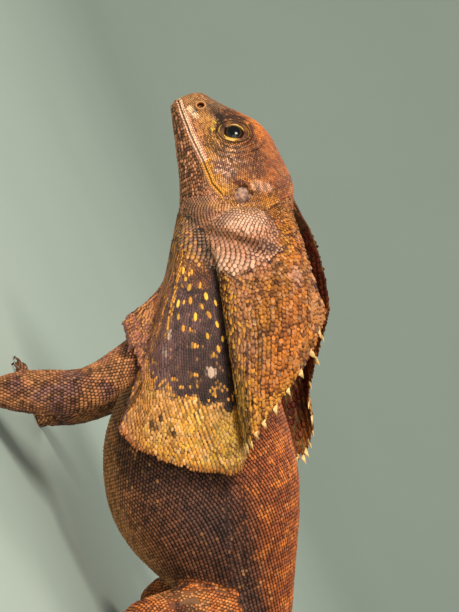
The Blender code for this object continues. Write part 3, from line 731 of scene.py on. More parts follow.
@dataclass(frozen=True)
class Tones:
    """The animal's colours, as a maker's sRGB numbers."""

    rust: tuple = (150, 74, 30)
    orange: tuple = (208, 116, 42)
    ochre: tuple = (222, 150, 56)
    yellow: tuple = (250, 196, 72)
    cream: tuple = (246, 204, 160)
    blush: tuple = (214, 146, 110)
    pink: tuple = (240, 184, 150)
    flesh: tuple = (190, 118, 74)
    tan: tuple = (196, 134, 78)
    brown: tuple = (128, 74, 42)
    umber: tuple = (84, 46, 26)
    dark: tuple = (42, 24, 15)
    plum: tuple = (88, 62, 54)
    grey: tuple = (122, 92, 68)
    olive: tuple = (140, 112, 40)
    red: tuple = (92, 32, 14)
    violet: tuple = (122, 84, 80)
    ash: tuple = (196, 162, 138)

    def tone(self, name: str) -> np.ndarray:
        """One tone in linear light."""
        raw = np.array(getattr(self, name), float) / 255
        return np.where(raw <= 0.04045, raw / 12.92, ((raw + 0.055) / 1.055) ** 2.4)

    def plain(self, name: str, count: int) -> np.ndarray:
        """One tone for each of a number of places."""
        return many(self.tone(name), count)

    def mixed(self, first: np.ndarray, name: str, amount: np.ndarray) -> np.ndarray:
        """Colours moved towards a tone by an amount for each."""
        amount = np.clip(amount, 0.0, 1.0)[:, None]
        return first * (1 - amount) + self.tone(name)[None, :] * amount

    def layered(self, first: np.ndarray, *layers: tuple) -> np.ndarray:
        """Colours with layers laid over them in turn, each a tone and how much of it.

        Args:
            first: The colours.
            layers: Pairs of a tone and its amounts.

        Returns:
            One colour for each place.
        """
        for name, amount in layers:
            first = self.mixed(first, name, amount)
        return first

    def marked(
        self, first: np.ndarray, marks: tuple, x: np.ndarray, y: np.ndarray, ragged: np.ndarray
    ) -> np.ndarray:
        """Colours with a set of marks laid over them in turn.

        Args:
            first: The colours.
            marks: The marks.
            x: The first coordinate of each place.
            y: The second.
            ragged: Noise that breaks up the marks' edges.

        Returns:
            One colour for each place.
        """
        return self.layered(first, *((mark.tone, mark.share(x, y, ragged)) for mark in marks))


@dataclass(frozen=True)
class Mark:
    """A soft-edged stroke of one tone between two places, with its half width in mm."""

    start: tuple
    end: tuple
    wide: float
    tone: str
    amount: float = 1.0

    def share(self, x: np.ndarray, y: np.ndarray, ragged: np.ndarray) -> np.ndarray:
        """How much of the mark there is at places.

        Args:
            x: The first coordinate of each place.
            y: The second.
            ragged: Noise that breaks up the mark's edge.

        Returns:
            A share from 0 to the mark's amount for each place.
        """
        (x0, y0), (x1, y1) = self.start, self.end
        square = max((x1 - x0) ** 2 + (y1 - y0) ** 2, 1e-9)
        t = np.clip(((x - x0) * (x1 - x0) + (y - y0) * (y1 - y0)) / square, 0.0, 1.0)
        distance = np.hypot(x - x0 - t * (x1 - x0), y - y0 - t * (y1 - y0))
        return ease(1.35, 0.65, distance / self.wide + 0.4 * ragged) * self.amount


class Signal:
    """A shader socket that takes part in sums and products."""

    def __init__(self, painter: "Painter", socket: bpy.types.NodeSocket) -> None:
        """Holds the socket and the painter that owns its tree."""
        self.painter = painter
        self.socket = socket

    def _math(self, operation: str, *values: object) -> "Signal":
        """A Math node over values and signals."""
        inputs = dict(enumerate(values))
        return self.painter.signal(self.painter.node("ShaderNodeMath", {"operation": operation}, inputs))

    def __add__(self, other: object) -> "Signal":
        """This plus other."""
        return self._math("ADD", self, other)

    __radd__ = __add__

    def __mul__(self, other: object) -> "Signal":
        """This times other."""
        return self._math("MULTIPLY", self, other)

    __rmul__ = __mul__

    def __sub__(self, other: object) -> "Signal":
        """This less other."""
        return self._math("SUBTRACT", self, other)

    def __rsub__(self, other: object) -> "Signal":
        """Other less this."""
        return self._math("SUBTRACT", other, self)

    def __truediv__(self, other: object) -> "Signal":
        """This over other."""
        return self._math("DIVIDE", self, other)

    def __rtruediv__(self, other: object) -> "Signal":
        """Other over this."""
        return self._math("DIVIDE", other, self)

    def __pow__(self, other: object) -> "Signal":
        """This to the power of other."""
        return self._math("POWER", self, other)

    def step(self, low: float, high: float) -> "Signal":
        """A smooth step from 0 at low to 1 at high.

        Args:
            low: Where the step starts.
            high: Where it ends.

        Returns:
            The step as a signal.
        """
        node = self.painter.node(
            "ShaderNodeMapRange",
            {"interpolation_type": "SMOOTHSTEP"},
            {"Value": self, "From Min": low, "From Max": high, "To Min": 0.0, "To Max": 1.0},
        )
        return self.painter.signal(node)


class Painter:
    """Makes the nodes of one material."""

    def __init__(self, name: str) -> None:
        """Starts a material that holds one shader.

        Args:
            name: The material's name.
        """
        self.material = bpy.data.materials.new(name)
        self.material.use_nodes = True
        self.tree = self.material.node_tree
        self.shader = self.tree.nodes["Principled BSDF"]

    def node(self, kind: str, settings: dict, inputs: dict) -> bpy.types.Node:
        """One node.

        Args:
            kind: The node's type.
            settings: What is set on the node itself, first.
            inputs: Values, or signals to link, for its sockets by name or number.

        Returns:
            The node.
        """
        made = self.tree.nodes.new(kind)
        for key, value in settings.items():
            setattr(made, key, value)
        for key, value in inputs.items():
            if isinstance(value, Signal):
                self.tree.links.new(value.socket, made.inputs[key])
            else:
                made.inputs[key].default_value = value
        return made

    def signal(self, node: bpy.types.Node, output: object = 0) -> Signal:
        """A node's output as a signal."""
        return Signal(self, node.outputs[output])

    def attribute(self, name: str, output: str) -> Signal:
        """A value that the mesh carries."""
        return self.signal(self.node("ShaderNodeAttribute", {"attribute_name": name}, {}), output)

    def position(self) -> Signal:
        """The place on the object."""
        return self.signal(self.node("ShaderNodeTexCoord", {}, {}), "Object")

    def noise(self, scale: float, detail: float = 2.0) -> Signal:
        """Noise over the object's own space, as a value."""
        inputs = {"Vector": self.position(), "Scale": scale, "Detail": detail}
        return self.signal(self.node("ShaderNodeTexNoise", {}, inputs))

    def mix(self, first: object, second: object, amount: object, kind: str = "MIX") -> Signal:
        """Two colours mixed by an amount."""
        settings = {"data_type": "RGBA", "blend_type": kind}
        return self.signal(self.node("ShaderNodeMix", settings, {0: amount, 6: first, 7: second}), 2)

    def grey(self, value: Signal) -> Signal:
        """A value as a grey colour."""
        node = self.node("ShaderNodeCombineColor", {}, {0: value, 1: value, 2: value})
        return self.signal(node)

    def link(self, socket: str, signal: Signal) -> None:
        """Feeds one of the shader's sockets."""
        self.tree.links.new(signal.socket, self.shader.inputs[socket])

    def fix(self, **values: object) -> None:
        """Sets what is the same all over the surface, by socket name with _ for each space."""
        for key, value in values.items():
            self.shader.inputs[key.replace("_", " ")].default_value = value

    def bump(self, height: Signal, strength: float, distance: float) -> None:
        """Raises the surface by a height."""
        inputs = {"Height": height, "Strength": strength, "Distance": distance}
        self.link("Normal", self.signal(self.node("ShaderNodeBump", {}, inputs)))


@dataclass(frozen=True)
class HornFinish:
    """Scaly hide: each scale's own tone, darker at its rim as painted shade in the gaps between scales, with
    fine streaks and a dull gloss.
    """

    name: str
    # gap: how far the rim is darkened, as painted shade in the gaps between scales
    gap: float = 0.78
    streak: float = 0.34
    roughness: tuple = (0.42, 0.66)
    grain: float = 1400.0
    gloss: float = 0.3

    def material(self) -> bpy.types.Material:
        """The finish as a material.

        Returns:
            The material.
        """
        paint = Painter(self.name)
        tint = paint.attribute("tint", "Color")
        rim = paint.attribute("rim", "Fac")
        fine = paint.noise(self.grain, 3.0)
        broad = paint.noise(self.grain / 6, 2.0)
        # the rim darkened by gap is painted shade where each scale meets the skin
        light = (1 - rim * rim * self.gap) * (1 - self.streak / 2 + fine * self.streak)
        light = light * (0.86 + broad * 0.28)
        paint.link("Base Color", paint.mix(tint, paint.grey(light), 1.0, "MULTIPLY"))
        low, high = self.roughness
        paint.link("Roughness", low + broad * (high - low) + rim * 0.12)
        paint.bump(fine + broad * 0.5, 0.35, 0.00022)
        paint.fix(Specular_IOR_Level=self.gloss, Metallic=0.0)
        return paint.material


@dataclass(frozen=True)
class SkinFinish:
    """The skin between the scales, darkened as painted shade, with fine creases that are darkened as painted
    crease shade.
    """

    name: str = "skin"
    grain: float = 900.0

    def material(self) -> bpy.types.Material:
        """The finish as a material.

        Returns:
            The material.
        """
        paint = Painter(self.name)
        tint = paint.attribute("tint", "Color")
        cells = paint.node("ShaderNodeTexVoronoi", {}, {"Vector": paint.position(), "Scale": self.grain})
        crease = paint.signal(cells, "Distance").step(0.0, 0.6)
        fine = paint.noise(self.grain * 2, 3.0)
        # darker towards the edges of the cells: painted shade in the fine creases
        light = (1.05 - crease * 0.35) * (0.8 + fine * 0.4)
        paint.link("Base Color", paint.mix(tint, paint.grey(light), 1.0, "MULTIPLY"))
        paint.link("Roughness", 0.6 + fine * 0.2)
        paint.bump(1 - crease + fine * 0.3, 0.5, 0.0003)
        paint.fix(Specular_IOR_Level=0.35)
        return paint.material


@dataclass(frozen=True)
class EyeFinish:
    """A dark, wet eye: black pupil, thin warm ring, brown iris that darkens to its edge."""

    name: str
    centre: np.ndarray
    gaze: np.ndarray
    radius: float
    pupil: float = 0.5
    iris: float = 0.86

    def material(self) -> bpy.types.Material:
        """The finish as a material.

        Returns:
            The material.
        """
        paint = Painter(self.name)
        inputs = {0: paint.position(), 1: tuple(self.centre)}
        away = paint.signal(paint.node("ShaderNodeVectorMath", {"operation": "SUBTRACT"}, inputs))
        inputs = {0: away, 1: tuple(self.gaze)}
        length = paint.node("ShaderNodeVectorMath", {"operation": "DOT_PRODUCT"}, inputs)
        ahead = paint.signal(length, "Value") / self.radius
        off = (1 - ahead * ahead) ** 0.5
        fibres = paint.noise(2600.0, 3.0)
        brown = paint.mix((0.006, 0.003, 0.002, 1), (0.024, 0.010, 0.005, 1), fibres)
        ring = off.step(self.pupil - 0.02, self.pupil + 0.03) * off.step(self.pupil + 0.14, self.pupil + 0.05)
        warm = paint.mix(brown, (0.12, 0.06, 0.02, 1), ring * 0.3)
        dark = paint.mix((0.002, 0.002, 0.002, 1), warm, off.step(self.pupil - 0.03, self.pupil + 0.02))
        edge = paint.mix(dark, (0.012, 0.008, 0.006, 1), off.step(self.iris - 0.12, self.iris))
        paint.link("Base Color", edge)
        paint.fix(Roughness=0.1, Specular_IOR_Level=0.3)
        return paint.material


@dataclass(frozen=True)
class PlainFinish:
    """A horny or skinny surface in two tones that noise mixes."""

    name: str
    first: tuple
    second: tuple
    roughness: float = 0.4
    grain: float = 700.0
    bump: float = 0.2

    def material(self) -> bpy.types.Material:
        """The finish as a material.

        Returns:
            The material.
        """
        paint = Painter(self.name)
        fine = paint.noise(self.grain, 3.0)
        colour = paint.mix((*self.first, 1), (*self.second, 1), fine.step(0.35, 0.68))
        paint.link("Base Color", colour)
        paint.link("Roughness", self.roughness + fine * 0.15)
        paint.bump(fine, self.bump, 0.0002)
        return paint.material


@dataclass(frozen=True)
class StageFinish:
    """A pale matt floor that runs up into the backdrop."""

    name: str = "pale_floor"
    colour: tuple = (0.38, 0.44, 0.375)

    def material(self) -> bpy.types.Material:
        """The finish as a material.

        Returns:
            The material.
        """
        paint = Painter(self.name)
        fine = paint.noise(9.0, 2.0)
        paint.link("Base Color", paint.mix((*self.colour, 1), (*(c * 0.93 for c in self.colour), 1), fine))
        paint.fix(Roughness=0.85, Specular_IOR_Level=0.2)
        return paint.material


def new_object(mesh: bpy.types.Mesh, name: str) -> bpy.types.Object:
    """An object in the scene with this mesh.

    Args:
        mesh: Its mesh, light or camera.
        name: Its name.

    Returns:
        The object.
    """
    made = bpy.data.objects.new(name, mesh)
    bpy.context.scene.collection.objects.link(made)
    return made


def from_bmesh(shape: bmesh.types.BMesh, name: str) -> bpy.types.Object:
    """The bmesh as an object, and frees it.

    Args:
        shape: The bmesh.
        name: The name of the object and its mesh.

    Returns:
        The object.
    """
    mesh = bpy.data.meshes.new(name)
    shape.to_mesh(mesh)
    shape.free()
    return new_object(mesh, name)


def rows_of(values: bpy.types.bpy_prop_collection, name: str) -> np.ndarray:
    """A vector that each member of a mesh's collection has, as rows.

    Args:
        values: The collection.
        name: The vector's name.

    Returns:
        One row for each member.
    """
    flat = np.empty(len(values) * 3, np.float32)
    values.foreach_get(name, flat)
    return flat.reshape(-1, 3).astype(float)


def vertex_places(mesh: bpy.types.Mesh) -> np.ndarray:
    """The mesh's points as an array."""
    return rows_of(mesh.vertices, "co")


def vertex_normals(mesh: bpy.types.Mesh) -> np.ndarray:
    """The mesh's point normals as an array."""
    return rows_of(mesh.vertex_normals, "vector")


def move_vertices(mesh: bpy.types.Mesh, places: np.ndarray) -> None:
    """Puts the mesh's points at places in metres."""
    mesh.vertices.foreach_set("co", places.astype(np.float32).ravel())
    mesh.update()


def applied(piece: bpy.types.Object) -> bpy.types.Object:
    """The object with its modifiers worked into its mesh.

    Args:
        piece: The object.

    Returns:
        The same object.
    """
    graph = bpy.context.evaluated_depsgraph_get()
    result = bpy.data.meshes.new_from_object(piece.evaluated_get(graph))
    piece.modifiers.clear()
    piece.data = result
    return piece


def paint_points(mesh: bpy.types.Mesh, tint: np.ndarray, rim: np.ndarray) -> None:
    """Stores each point's colour and how near a scale's rim it lies.

    Args:
        mesh: The mesh.
        tint: A colour for each point.
        rim: How near a scale's rim each point lies, from 0 to 1.
    """
    colour = mesh.attributes.new("tint", "FLOAT_COLOR", "POINT")
    colour.data.foreach_set("color", np.column_stack([tint, np.ones(len(tint))]).astype(np.float32).ravel())
    edge = mesh.attributes.new("rim", "FLOAT", "POINT")
    edge.data.foreach_set("value", rim.astype(np.float32))


def dress(piece: bpy.types.Object, material: bpy.types.Material) -> bpy.types.Object:
    """Gives a piece its material, smooth shading and body.

    Args:
        piece: The finished piece.
        material: What it is made of.

    Returns:
        The piece.
    """
    piece.data.materials.clear()
    piece.data.materials.append(material)
    piece.data.shade_smooth()
    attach(piece, "root")
    LOG.info("%s: %d faces", piece.name, len(piece.data.polygons))
    return piece


def roll(shape: bmesh.types.BMesh, rings: np.ndarray, ring_of_rings: bool = False) -> None:
    """Adds a closed tube: a grid rolled up through rings of points.

    Args:
        shape: What it is added to.
        rings: Rings, points and world places in metres, no point given twice.
        ring_of_rings: Whether the last ring joins the first, or else both ends are closed by a face.
    """
    count, around = rings.shape[:2]
    rows = count if ring_of_rings else count - 1
    made = bmesh.ops.create_grid(shape, x_segments=around, y_segments=rows, size=1.0)["verts"]
    flat = np.array([v.co for v in made])
    column = np.rint((flat[:, 0] + 1) / 2 * around).astype(int) % around
    row = np.rint((flat[:, 1] + 1) / 2 * rows).astype(int) % count
    for vert, co in zip(made, rings[row, column]):
        vert.co = co
    bmesh.ops.remove_doubles(shape, verts=made, dist=1e-7)
    bmesh.ops.holes_fill(shape, edges=[e for e in shape.edges if e.is_boundary])
    bmesh.ops.recalc_face_normals(shape, faces=shape.faces)


class ScaleForm:
    """One scale as a small closed solid: outline, shoulder and crest, with its rim marked."""

    def __init__(
        self, sides: int, sharp: float, keel: float, lift: float, shoulder: float = 0.6, loose: float = 1.0
    ) -> None:
        """Works out the corners and faces of the scale.

        Args:
            sides: How many corners its outline has.
            sharp: 1 for an oval outline, more for one with pointed ends.
            keel: How far a ridge along it stands up, as a share of its height.
            lift: How far its free tip stands up, as a share of its height.
            shoulder: How wide its upper face is, as a share of the outline.
            loose: How far its kind varies in size and turn, against others.
        """
        self.loose = loose
        turn = 2 * math.pi * np.arange(sides) / sides
        x = np.sign(np.cos(turn)) * np.abs(np.cos(turn)) ** sharp
        y = np.sign(np.sin(turn)) * np.abs(np.sin(turn)) ** sharp
        ridge = np.abs(np.sin(turn)) < 0.2
        outline = np.column_stack([0.62 * x + 0.05, 0.54 * y, -0.15 + lift * (x + 1) / 2])
        top = np.column_stack(
            [0.62 * shoulder * x + 0.07, 0.54 * shoulder * y, 0.62 + lift * (x + 1) / 2 + keel * ridge]
        )
        ends = np.array([[0.1, 0.0, 0.85 + keel + lift * 0.55], [0.0, 0.0, -1.0]])
        self.corners = np.vstack([outline, top, ends])
        self.rims = np.concatenate([np.ones(sides), np.full(sides, 0.9 * (1 - shoulder)), [0.0], [1.0]])
        self.tips = ease(-0.05, 0.55, self.corners[:, 0])
        faces = []
        for k in range(sides):
            n = (k + 1) % sides
            faces.append((k, n, sides + n))
            faces.append((k, sides + n, sides + k))
            faces.append((sides + k, sides + n, 2 * sides))
            faces.append((n, k, 2 * sides + 1))
        self.faces = np.array(faces)


class Forms(Enum):
    """The kinds of scale that the coat is made of."""

    KEELED = ScaleForm(6, 1.15, 0.3, 0.6)
    FLAKE = ScaleForm(7, 1.1, 0.06, 1.0, 0.86, 1.7)
    PLATE = ScaleForm(6, 1.0, 0.0, 0.15, 0.8)
    PEBBLE = ScaleForm(7, 1.0, 0.05, 0.5, 0.7)
    SMALL = ScaleForm(6, 1.05, 0.15, 0.4)


@dataclass
class Sites:
    """Places for scales, with what each is like."""

    place: np.ndarray
    normal: np.ndarray
    lie: np.ndarray
    size: np.ndarray
    tint: np.ndarray
    patch: np.ndarray
    fringe: np.ndarray | None = None

    def __post_init__(self) -> None:
        """Gives the free tips the scales' own tone where no other is named."""
        if self.fringe is None:
            self.fringe = self.tint * 1.12

    @classmethod
    def joined(cls, parts: list["Sites"]) -> "Sites":
        """Several sets of sites as one."""
        return cls(*(np.concatenate([getattr(p, f.name) for p in parts]) for f in fields(cls)))

    def chosen(self, keep: np.ndarray) -> "Sites":
        """The sites that a mask keeps."""
        return Sites(*(getattr(self, f.name)[keep] for f in fields(self)))

    def axes(self) -> tuple[np.ndarray, np.ndarray, np.ndarray]:
        """The directions along, across and out of the surface at each site.

        Returns:
            Three rows of directions of length one.
        """
        normal = unit(self.normal)
        lie = unit(self.lie - normal * np.sum(self.lie * normal, axis=1, keepdims=True))
        return lie, np.cross(normal, lie), normal

    def __len__(self) -> int:
        """How many sites there are."""
        return len(self.place)


@dataclass(frozen=True)
class ScaleMaker:
    """Makes coat pieces: joined meshes with one small closed solid for each site."""

    place: Place
    patch: float = 0.0024
    turn_jitter: float = 0.13
    size_jitter: float = 0.09

    def build(self, name: str, sites: Sites, form: Forms, material: bpy.types.Material, slot: Slot) -> list:
        """Coat pieces for the sites.

        Args:
            name: The name of the piece, with a number after it where it takes several.
            sites: Where the scales are, with length, width and height of each in size.
            form: Their shape.
            material: Their material.
            slot: The record's slot; not used.

        Returns:
            The dressed pieces.
        """
        shape: ScaleForm = form.value
        most = PIECE_LIMIT // len(shape.faces)
        parts = max(1, math.ceil(len(sites) / most))
        pieces = []
        for part in range(parts):
            keep = np.arange(len(sites)) * parts // max(1, len(sites)) == part
            label = name if parts == 1 else f"{name}_{part + 1}"
            mesh = self._mesh(label, sites.chosen(keep), shape, Seed.PIECE + part)
            pieces.append(dress(new_object(mesh, label), material))
        return pieces

    def _mesh(self, name: str, sites: Sites, shape: ScaleForm, seed: int) -> bpy.types.Mesh:
        """The joined mesh of one piece.

        Args:
            name: Its name.
            sites: Where its scales are.
            shape: The shape of its scales.
            seed: The seed of the random draw.

        Returns:
            The mesh, with its colours and its map.
        """
        draw = np.random.default_rng(seed)
        count, corners, faces = len(sites), len(shape.corners), len(shape.faces)
        lie, across, normal = sites.axes()
        turn = draw.normal(0.0, self.turn_jitter * shape.loose, count)[:, None]
        lie, across = lie * np.cos(turn) + across * np.sin(turn), across * np.cos(turn) - lie * np.sin(turn)
        size = sites.size * (1 + draw.normal(0.0, self.size_jitter * shape.loose, (count, 3)).clip(-0.3, 0.3))
        local = shape.corners[None, :, :] * size[:, None, :]
        places = sites.place[:, None, :] + sum(
            local[:, :, k : k + 1] * axis[:, None, :] for k, axis in enumerate((lie, across, normal))
        )
        places[:, :, 2] = np.maximum(places[:, :, 2], 0.02)
        indices = (shape.faces[None, :, :] + (np.arange(count) * corners)[:, None, None]).reshape(-1)
        mesh = bpy.data.meshes.new(name)
        mesh.vertices.add(count * corners)
        mesh.loops.add(len(indices))
        mesh.polygons.add(count * faces)
        mesh.vertices.foreach_set("co", self.place.world(places).astype(np.float32).ravel())
        mesh.loops.foreach_set("vertex_index", indices.astype(np.int32))
        mesh.polygons.foreach_set("loop_start", (np.arange(count * faces) * 3).astype(np.int32))
        mesh.update(calc_edges=True)
        share = np.tile(shape.tips, count)[:, None]
        tint = np.repeat(sites.tint, corners, axis=0) * (1 - share)
        tint += np.repeat(sites.fringe, corners, axis=0) * share
        paint_points(mesh, tint, np.tile(shape.rims, count))
        near = np.repeat(sites.patch, corners, axis=0)
        near += np.tile(shape.corners[:, :2], (count, 1)) * self.patch
        layer = mesh.uv_layers.new(name="OFBake")
        layer.data.foreach_set("uv", np.clip(near, 0.0, 1.0)[indices].astype(np.float32).ravel())
        mesh.validate()
        return mesh


class Spacing:
    """Admits a site only where the ones in place leave room for it."""

    def __init__(self, cell: float) -> None:
        """Starts with no sites.

        Args:
            cell: The longest distance that matters, in mm.
        """
        self.cell = cell
        self.cells: dict = {}

    def admit(self, place: tuple, lie: tuple, across: tuple, long: float, wide: float) -> bool:
        """Takes a site in, unless one lies inside the oval that the two need.

        Args:
            place: The site.
            lie: The direction along the scale.
            across: The direction across it.
            long: The distance along that it keeps from its like.
            wide: The distance across.

        Returns:
            Whether there was room.
        """
        x, y, z = place
        i, j, k = int(x // self.cell), int(y // self.cell), int(z // self.cell)
        for a in (i - 1, i, i + 1):
            for b in (j - 1, j, j + 1):
                for c in (k - 1, k, k + 1):
                    for ox, oy, oz, other_long, other_wide in self.cells.get((a, b, c), ()):
                        dx, dy, dz = ox - x, oy - y, oz - z
                        far, near = (long + other_long) / 2, (wide + other_wide) / 2
                        square = dx * dx + dy * dy + dz * dz
                        if square > far * far and square > near * near:
                            continue
                        p = (dx * lie[0] + dy * lie[1] + dz * lie[2]) / far
                        q = (dx * across[0] + dy * across[1] + dz * across[2]) / near
                        if p * p + q * q < 1.0:
                            return False
        self.cells.setdefault((i, j, k), []).append((x, y, z, long, wide))
        return True

    def admit_all(
        self, place: np.ndarray, lie: np.ndarray, across: np.ndarray, size: np.ndarray
    ) -> np.ndarray:
        """Takes in the sites that there is room for, in their order.

        Args:
            place: The sites.
            lie: The direction along each scale.
            across: The direction across it.
            size: The distances along and across that it keeps, in its first two columns.

        Returns:
            A mask of those that were admitted.
        """
        rows = zip(place.tolist(), lie.tolist(), across.tolist(), size[:, 0].tolist(), size[:, 1].tolist())
        return np.array([self.admit(*row) for row in rows], bool)

    def thinned(self, sites: Sites, long: np.ndarray, wide: np.ndarray) -> Sites:
        """The sites that there is room for, taken in their order.

        Args:
            sites: The sites.
            long: The distance along that each keeps.
            wide: The distance across that each keeps.

        Returns:
            Those that were admitted.
        """
        lie, across, _ = sites.axes()
        return sites.chosen(self.admit_all(sites.place, lie, across, np.column_stack([long, wide])))


class Surface:
    """The finished skin, to find the nearest place on it and the way that it faces there."""

    def __init__(self, mesh: bpy.types.Mesh, place: Place) -> None:
        """Builds the search tree.

        Args:
            mesh: The skin's mesh in the world.
            place: Where the animal's own millimetres lie.
        """
        self.points = place.body(vertex_places(mesh))
        self.normals = vertex_normals(mesh)
        self.polygons = [tuple(p.vertices) for p in mesh.polygons]
        self.tree = BVHTree.FromPolygons([tuple(p) for p in self.points], self.polygons)

    def nearest(self, places: np.ndarray, most: float = 2.0) -> tuple[np.ndarray, np.ndarray, np.ndarray]:
        """The skin nearest to each place.

        Args:
            places: Body places.
            most: The furthest that the skin may be, in mm.

        Returns:
            Places on the skin, smooth normals there, and a mask of those that were found.
        """
        found, normals, keep = places.copy(), np.zeros_like(places), np.zeros(len(places), bool)
        for n, place in enumerate(places):
            hit, _, index, _ = self.tree.find_nearest(Vector(place), most)
            if index is not None:
                found[n], normals[n], keep[n] = hit, self.smooth_normal(index), True
        return found, unit(normals), keep

    def smooth_normal(self, index: int) -> np.ndarray:
        """The mean of the normals at the corners of a face."""
        return self.normals[list(self.polygons[index])].mean(axis=0)


HEAD_MARKS = (
    Mark((24, 152), (38, 151), 8.0, "rust", 0.4),
    Mark((73, 141), (84, 134), 4.6, "grey", 0.85),
    Mark((84, 130), (80, 134), 3.0, "tan", 0.7),
    Mark((60, 150), (48, 152), 4.0, "orange", 0.4),
    Mark((57, 130.5), (74, 132.5), 3.4, "ochre", 0.3),
    Mark((46, 137), (43, 147), 4.0, "umber", 0.6),
    Mark((41, 139), (38, 149), 3.5, "orange", 0.35),
    Mark((30, 149), (33, 156), 2.5, "umber", 0.5),
    Mark((55, 149.4), (47, 146.4), 1.5, "dark", 0.8),
    Mark((47.6, 147.3), (40, 144.6), 2.2, "umber", 0.75),
    Mark((54, 152.6), (63.6, 150.8), 2.2, "orange", 0.7),
    Mark((71.1, 142.4), (66, 146), 2.0, "umber", 0.75),
    Mark((74, 137.6), (69, 140.6), 1.7, "umber", 0.6),
    Mark((68.6, 136.2), (66.0, 134.9), 0.95, "yellow", 0.75),
    # painted shadow in the crease in front of the eye
    Mark((70.2, 139.2), (67.0, 138.4), 1.5, "dark", 0.9),
    Mark((60.0, 132.2), (53.0, 133.6), 1.2, "umber", 0.6),
    Mark((76, 128.9), (62, 129.0), 1.3, "flesh", 0.5),
    Mark((78.6, 128.6), (74.6, 130.2), 1.3, "cream", 0.95),
    Mark((53.5, 127.4), (45.7, 127.4), 1.5, "ochre", 0.8),
    Mark((45.7, 127.4), (36, 129.2), 1.5, "ochre", 0.7),
    Mark((40.8, 134.6), (37.8, 138.8), 1.0, "red", 0.95),
    # painted highlight above the eardrum
    Mark((36, 142), (33, 146), 2.0, "pink", 0.5),
    Mark((24, 143), (12, 145), 5.0, "ochre", 0.5),
    Mark((27, 139), (17, 146), 1.6, "umber", 0.6),
)
JOWL = Mark((28.4, 114.3), (13.5, 129.3), 12.3, "blush", 1.0)
JOWL_MARKS = (
    JOWL,
    Mark((38, 110), (35, 120), 3.5, "brown", 0.6),
    # pale pink on the bulges: partly the jowl's own colour, partly painted highlight where the light falls on
    # them
    Mark((26, 129), (22, 136), 5.0, "pink", 0.85),
    Mark((12, 116), (4, 124), 5.0, "pink", 0.75),
    Mark((7, 134), (5, 139), 3.0, "pink", 0.6),
    # brown band along the jowl's crease: partly its own red-brown, partly painted shade below the upper bulge
    Mark((29, 113), (8, 137), 2.6, "brown", 0.8),
    Mark((38, 118), (24, 141), 1.6, "ochre", 0.45),
    Mark((1, 122), (-3, 136), 3.0, "brown", 0.5),
    Mark((38, 104), (12, 106), 5.5, "umber", 0.75),
    # painted shadow, standing for a groove below the jowl
    Mark((34, 110.5), (12, 112.5), 2.2, "dark", 0.85),
)


